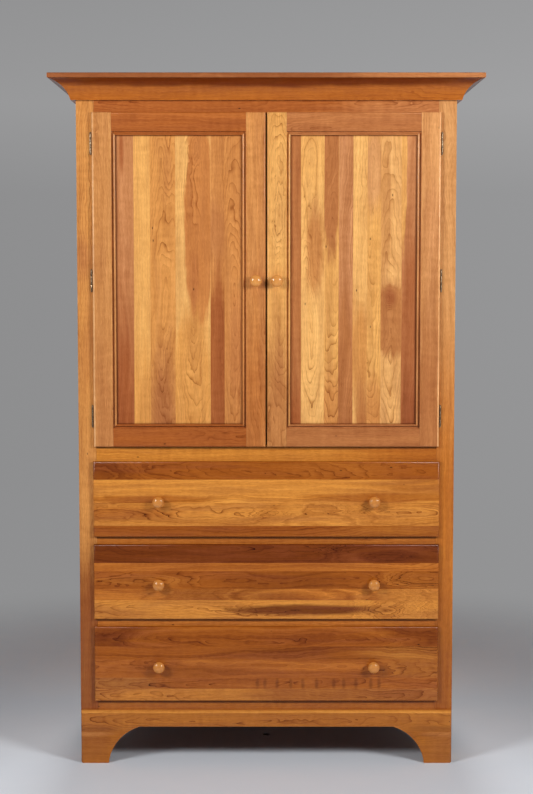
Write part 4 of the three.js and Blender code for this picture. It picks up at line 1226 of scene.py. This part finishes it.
# %% Six hinges
for hand, inward in (("left", 1), ("right", -1)):
    for level in ("top", "middle", "bottom"):
        case_node, door_node = (f"hinge_{hand}_{level}_{side}_leaf" for side in ("case", "door"))
        low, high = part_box(case_node)
        x = (low[0] if hand == "left" else high[0]) + inward * BARREL
        y, z = low[1] + BARREL, (low[2] + high[2]) / 2
        k = KNUCKLES + z
        gap = 0.3 * MM
        whole, upper, lower, between = (k[0], k[3]), (k[2] + gap, k[3]), (k[0], k[1] - gap), (k[1], k[2])
        case_leaf = plates(x, y, inward, [
            ((0, 10), (1.8, 3), lower, "y"), ((0, 10), (1.8, 3), upper, "y"),
            ((3.3, 10), (1.8, 3), between, "y"), ((8.8, 10), (1.8, 19.3), whole, "x")])
        screws = [screw_head((x + inward * 10 * MM, y + 11 * MM, z + rise * MM), (inward, 0, 0))
                  for rise in (-16, 16)]
        case_shape = together(
            knuckle(x, y, *lower), knuckle(x, y, *upper), ball_tip(x, y, k[0], -1), ball_tip(x, y, k[3], 1),
            turned(np.array([[1.5 * MM, k[0]], [1.5 * MM, k[3]]]), (x, y, 0), UP, 16), *case_leaf, *screws)
        piece(case_node + "_brass", case_shape, "case", brass, [case_node])
        door_leaf = plates(x, y, inward, [
            ((0, 3.6), (0.3, 1.5), between, "y"), ((3.3, 12.7), (0.3, 1.5), whole, "y"),
            ((11.5, 12.7), (0.3, 11), whole, "x"), ((11.5, 35.5), (9.8, 11), whole, "y")])
        screws = [screw_head((x + inward * 26 * MM, y + 11 * MM, z + rise * MM), (0, 1, 0))
                  for rise in (-16, 0, 16)]
        door_shape = together(knuckle(x, y, k[1], k[2]), *door_leaf, *screws)
        piece(door_node + "_brass", door_shape, f"door_{hand}", brass, [door_node])
print("hinge leaves:", sum(node.endswith("_leaf") for node in nodes))

# %% [markdown]
# ## The drawer boxes
# Pale hard maple, dovetailed at the corners: the sides' tails flare between the pins of the front and
# back. The side boards are cut as real tails, and each pin is a small wedge that belongs to the end
# board, so its end grain shows on the side of the box.

# %% Pins and tails
WALL = 12.7 * MM
PIN_NARROW, PIN_WIDE, HALF_PIN = 6 * MM, 11 * MM, 7 * MM


def pin_places(low, high):
    """The pins' (bottom, top) heights at the board's end and at the depth of the joint, from the floor up."""
    middles = np.linspace(low, high, 6)[1:-1]
    outer = [(low, low + HALF_PIN - 2 * MM)] + [(m - PIN_NARROW / 2, m + PIN_NARROW / 2) for m in middles]
    inner = [(low, low + HALF_PIN)] + [(m - PIN_WIDE / 2, m + PIN_WIDE / 2) for m in middles]
    outer.append((high - HALF_PIN + 2 * MM, high))
    inner.append((high - HALF_PIN, high))
    return np.array(outer), np.array(inner)


def tails(end, depth, outer, inner):
    """A side board's end, from the bottom up: in at each pin and out along each tail."""
    points = [(depth, inner[0, 0]), (depth, inner[0, 1]), (end, outer[0, 1])]
    for pin in range(1, len(outer) - 1):
        points += [(end, outer[pin, 0]), (depth, inner[pin, 0]), (depth, inner[pin, 1]), (end, outer[pin, 1])]
    return np.array(points + [(end, outer[-1, 0]), (depth, inner[-1, 0]), (depth, inner[-1, 1])])


print("pins at each corner:", len(pin_places(0, 0.185)[0]))


# %% Dovetailed boxes
def drawer_box(name):
    """Two side boards with tails, and two end boards with their pins."""
    node = f"drawer_{name}_box"
    (x0, y0, z0), (x1, y1, z1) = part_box(node)
    outer, inner = pin_places(z0, z1)
    outline = np.concatenate((tails(y1, y1 - WALL, outer, inner), tails(y0, y0 + WALL, outer, inner)[::-1]))
    arris = 0.2 * MM
    sides = together(board(outline, x0, x0 + WALL, "yzx", arris, arris, steps=2),
                     board(outline, x1, x1 - WALL, "yzx", arris, arris, steps=2))
    ends = [board(rectangle((x0 + WALL, z0), (x1 - WALL, z1)), y, y + way * WALL, "xzy", arris, arris, steps=2)
            for y, way in ((y0, 1), (y1, -1))]
    for y, depth in ((y0, y0 + WALL), (y1, y1 - WALL)):
        for (a, b), (c, d) in zip(outer, inner):
            wedge = np.array([(y, a), (depth, c), (depth, d), (y, b)])
            if depth < y:
                wedge = wedge[::-1]
            ends += [board(wedge, x, x + way * WALL, "yzx", arris, arris, steps=2)
                     for x, way in ((x0, 1), (x1, -1))]
    maple = dict(heart="#c9a878", lines=0.07, drift=0.3, streak=0.06, flecks=0.2, spacing=6.0, roughness=0.08)
    seed = 50 + list(drawer_staves).index(name)
    tones = ("#dcc193", "#d8ba88", "#e0c89c")
    for part, shape, grain, start in (("sides", sides, "y", seed), ("ends", together(*ends), "x", seed + 9)):
        finish = wood(f"oiled maple, {name} drawer {part}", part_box(node), grain, "z",
                      glued_up(1000 * z0, 1000 * z1, start, tones, widest=200), **maple)
        piece(f"drawer_{name}_box_{part}", shape, f"drawer_{name}", finish, [node])


for name in drawer_staves:
    drawer_box(name)
print("drawer boxes:", len(drawer_staves))

# %% [markdown]
# ## Boards inside the case
# The deck, the shelf and the boards between the drawers keep the imported solids, with their tongues and
# guide strips, and get the same glued-up cherry. The bottom board and the rear rail get near-black tones,
# painted shade that keeps the space under the case dark. Drawer bottoms and the back are plywood: thin
# rotary cut veneers whose plies show as bands on a cut edge.

# %% Cherry for the inner boards
def dress(node, material):
    """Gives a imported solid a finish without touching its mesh."""
    for material_slot in nodes[node].material_slots:
        material_slot.material = material


inner_boards = ["tv_deck", "component_shelf", "bottom_board", "dust_board_lower", "dust_board_upper",
                "rear_rail"]
for i, node in enumerate(inner_boards):
    across = "z" if node == "rear_rail" else "y"
    # The bottom board and the rear rail get near-black tones: painted shade, so little light bounces under the
    # case.
    tones = ("#5a2a0c", COCOA) if node in ("rear_rail", "bottom_board") else (AMBER, RUSSET, ROSY, HONEY, CLAY)
    dress(node, wood("oiled cherry, " + node.replace("_", " "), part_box(node), "x", across,
                     glued_up(*span(node, across), seed=60 + i, tones=tones), roughness=0.08))
print("inner boards:", len(inner_boards))

# %% Plywood
def plywood(name, box, grain, across, thin, faces, plies, **figure):
    """Wide pale veneer figure on the faces, and bands of five plies across the thickness."""
    low, high = 1000 * box[0][PLACES[across]], 1000 * box[1][PLACES[across]]
    material = wood(name, box, grain, across, glued_up(low, high, 91, faces, widest=320), spacing=9.0,
                    wander=40.0, flecks=0.1, roughness=0.14, **figure)
    add = functools.partial(add_node, material.node_tree)
    at = add("TexCoord").outputs["Object"]
    depth = add("SeparateXYZ", (at,)).outputs[PLACES[thin]]
    start, end = box[0][PLACES[thin]], box[1][PLACES[thin]]
    share = add("MapRange", {"Value": depth, "From Min": start, "From Max": end})
    bands = add("ValToRGB", (share,))
    bands.color_ramp.interpolation = "CONSTANT"
    fill_ramp(bands.color_ramp, [(i / 5, linear(plies[i % 2])) for i in range(5)])
    shaded(material, bands.outputs["Color"])
    return material


for name in drawer_staves:
    node = f"drawer_{name}_bottom"
    dress(node, plywood(f"birch plywood, {name} drawer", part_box(node), "x", "y", "z", ("#dcc295", "#e0c99f"),
                        ("#ffffff", "#c9b08c"), heart="#cfae7c", lines=0.05, streak=0.05))
dress("back_panel", plywood("cherry plywood, back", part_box("back_panel"), "z", "x", "y", (RUSSET, AMBER),
                            ("#ffffff", "#d6c0a4")))
print("plywood panels:", len(drawer_staves) + 1)

# %% Screws round the back
back_low, back_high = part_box("back_panel")
rows = np.linspace(back_low[2] + 0.03, back_high[2] - 0.03, 9)
columns = np.linspace(back_low[0] + 0.12, back_high[0] - 0.12, 5)
spots = [(x, z) for x in (back_low[0] + 5 * MM, back_high[0] - 5 * MM) for z in rows]
spots += [(x, z) for x in columns for z in (back_low[2] + 0.02, back_high[2] - 0.02)]
heads = together(*[screw_head((x, back_high[1] - 0.66 * MM, z), (0, 1, 0)) for x, z in spots])
piece("back_panel_screws", heads, "case", brass)
print("screws:", len(spots))
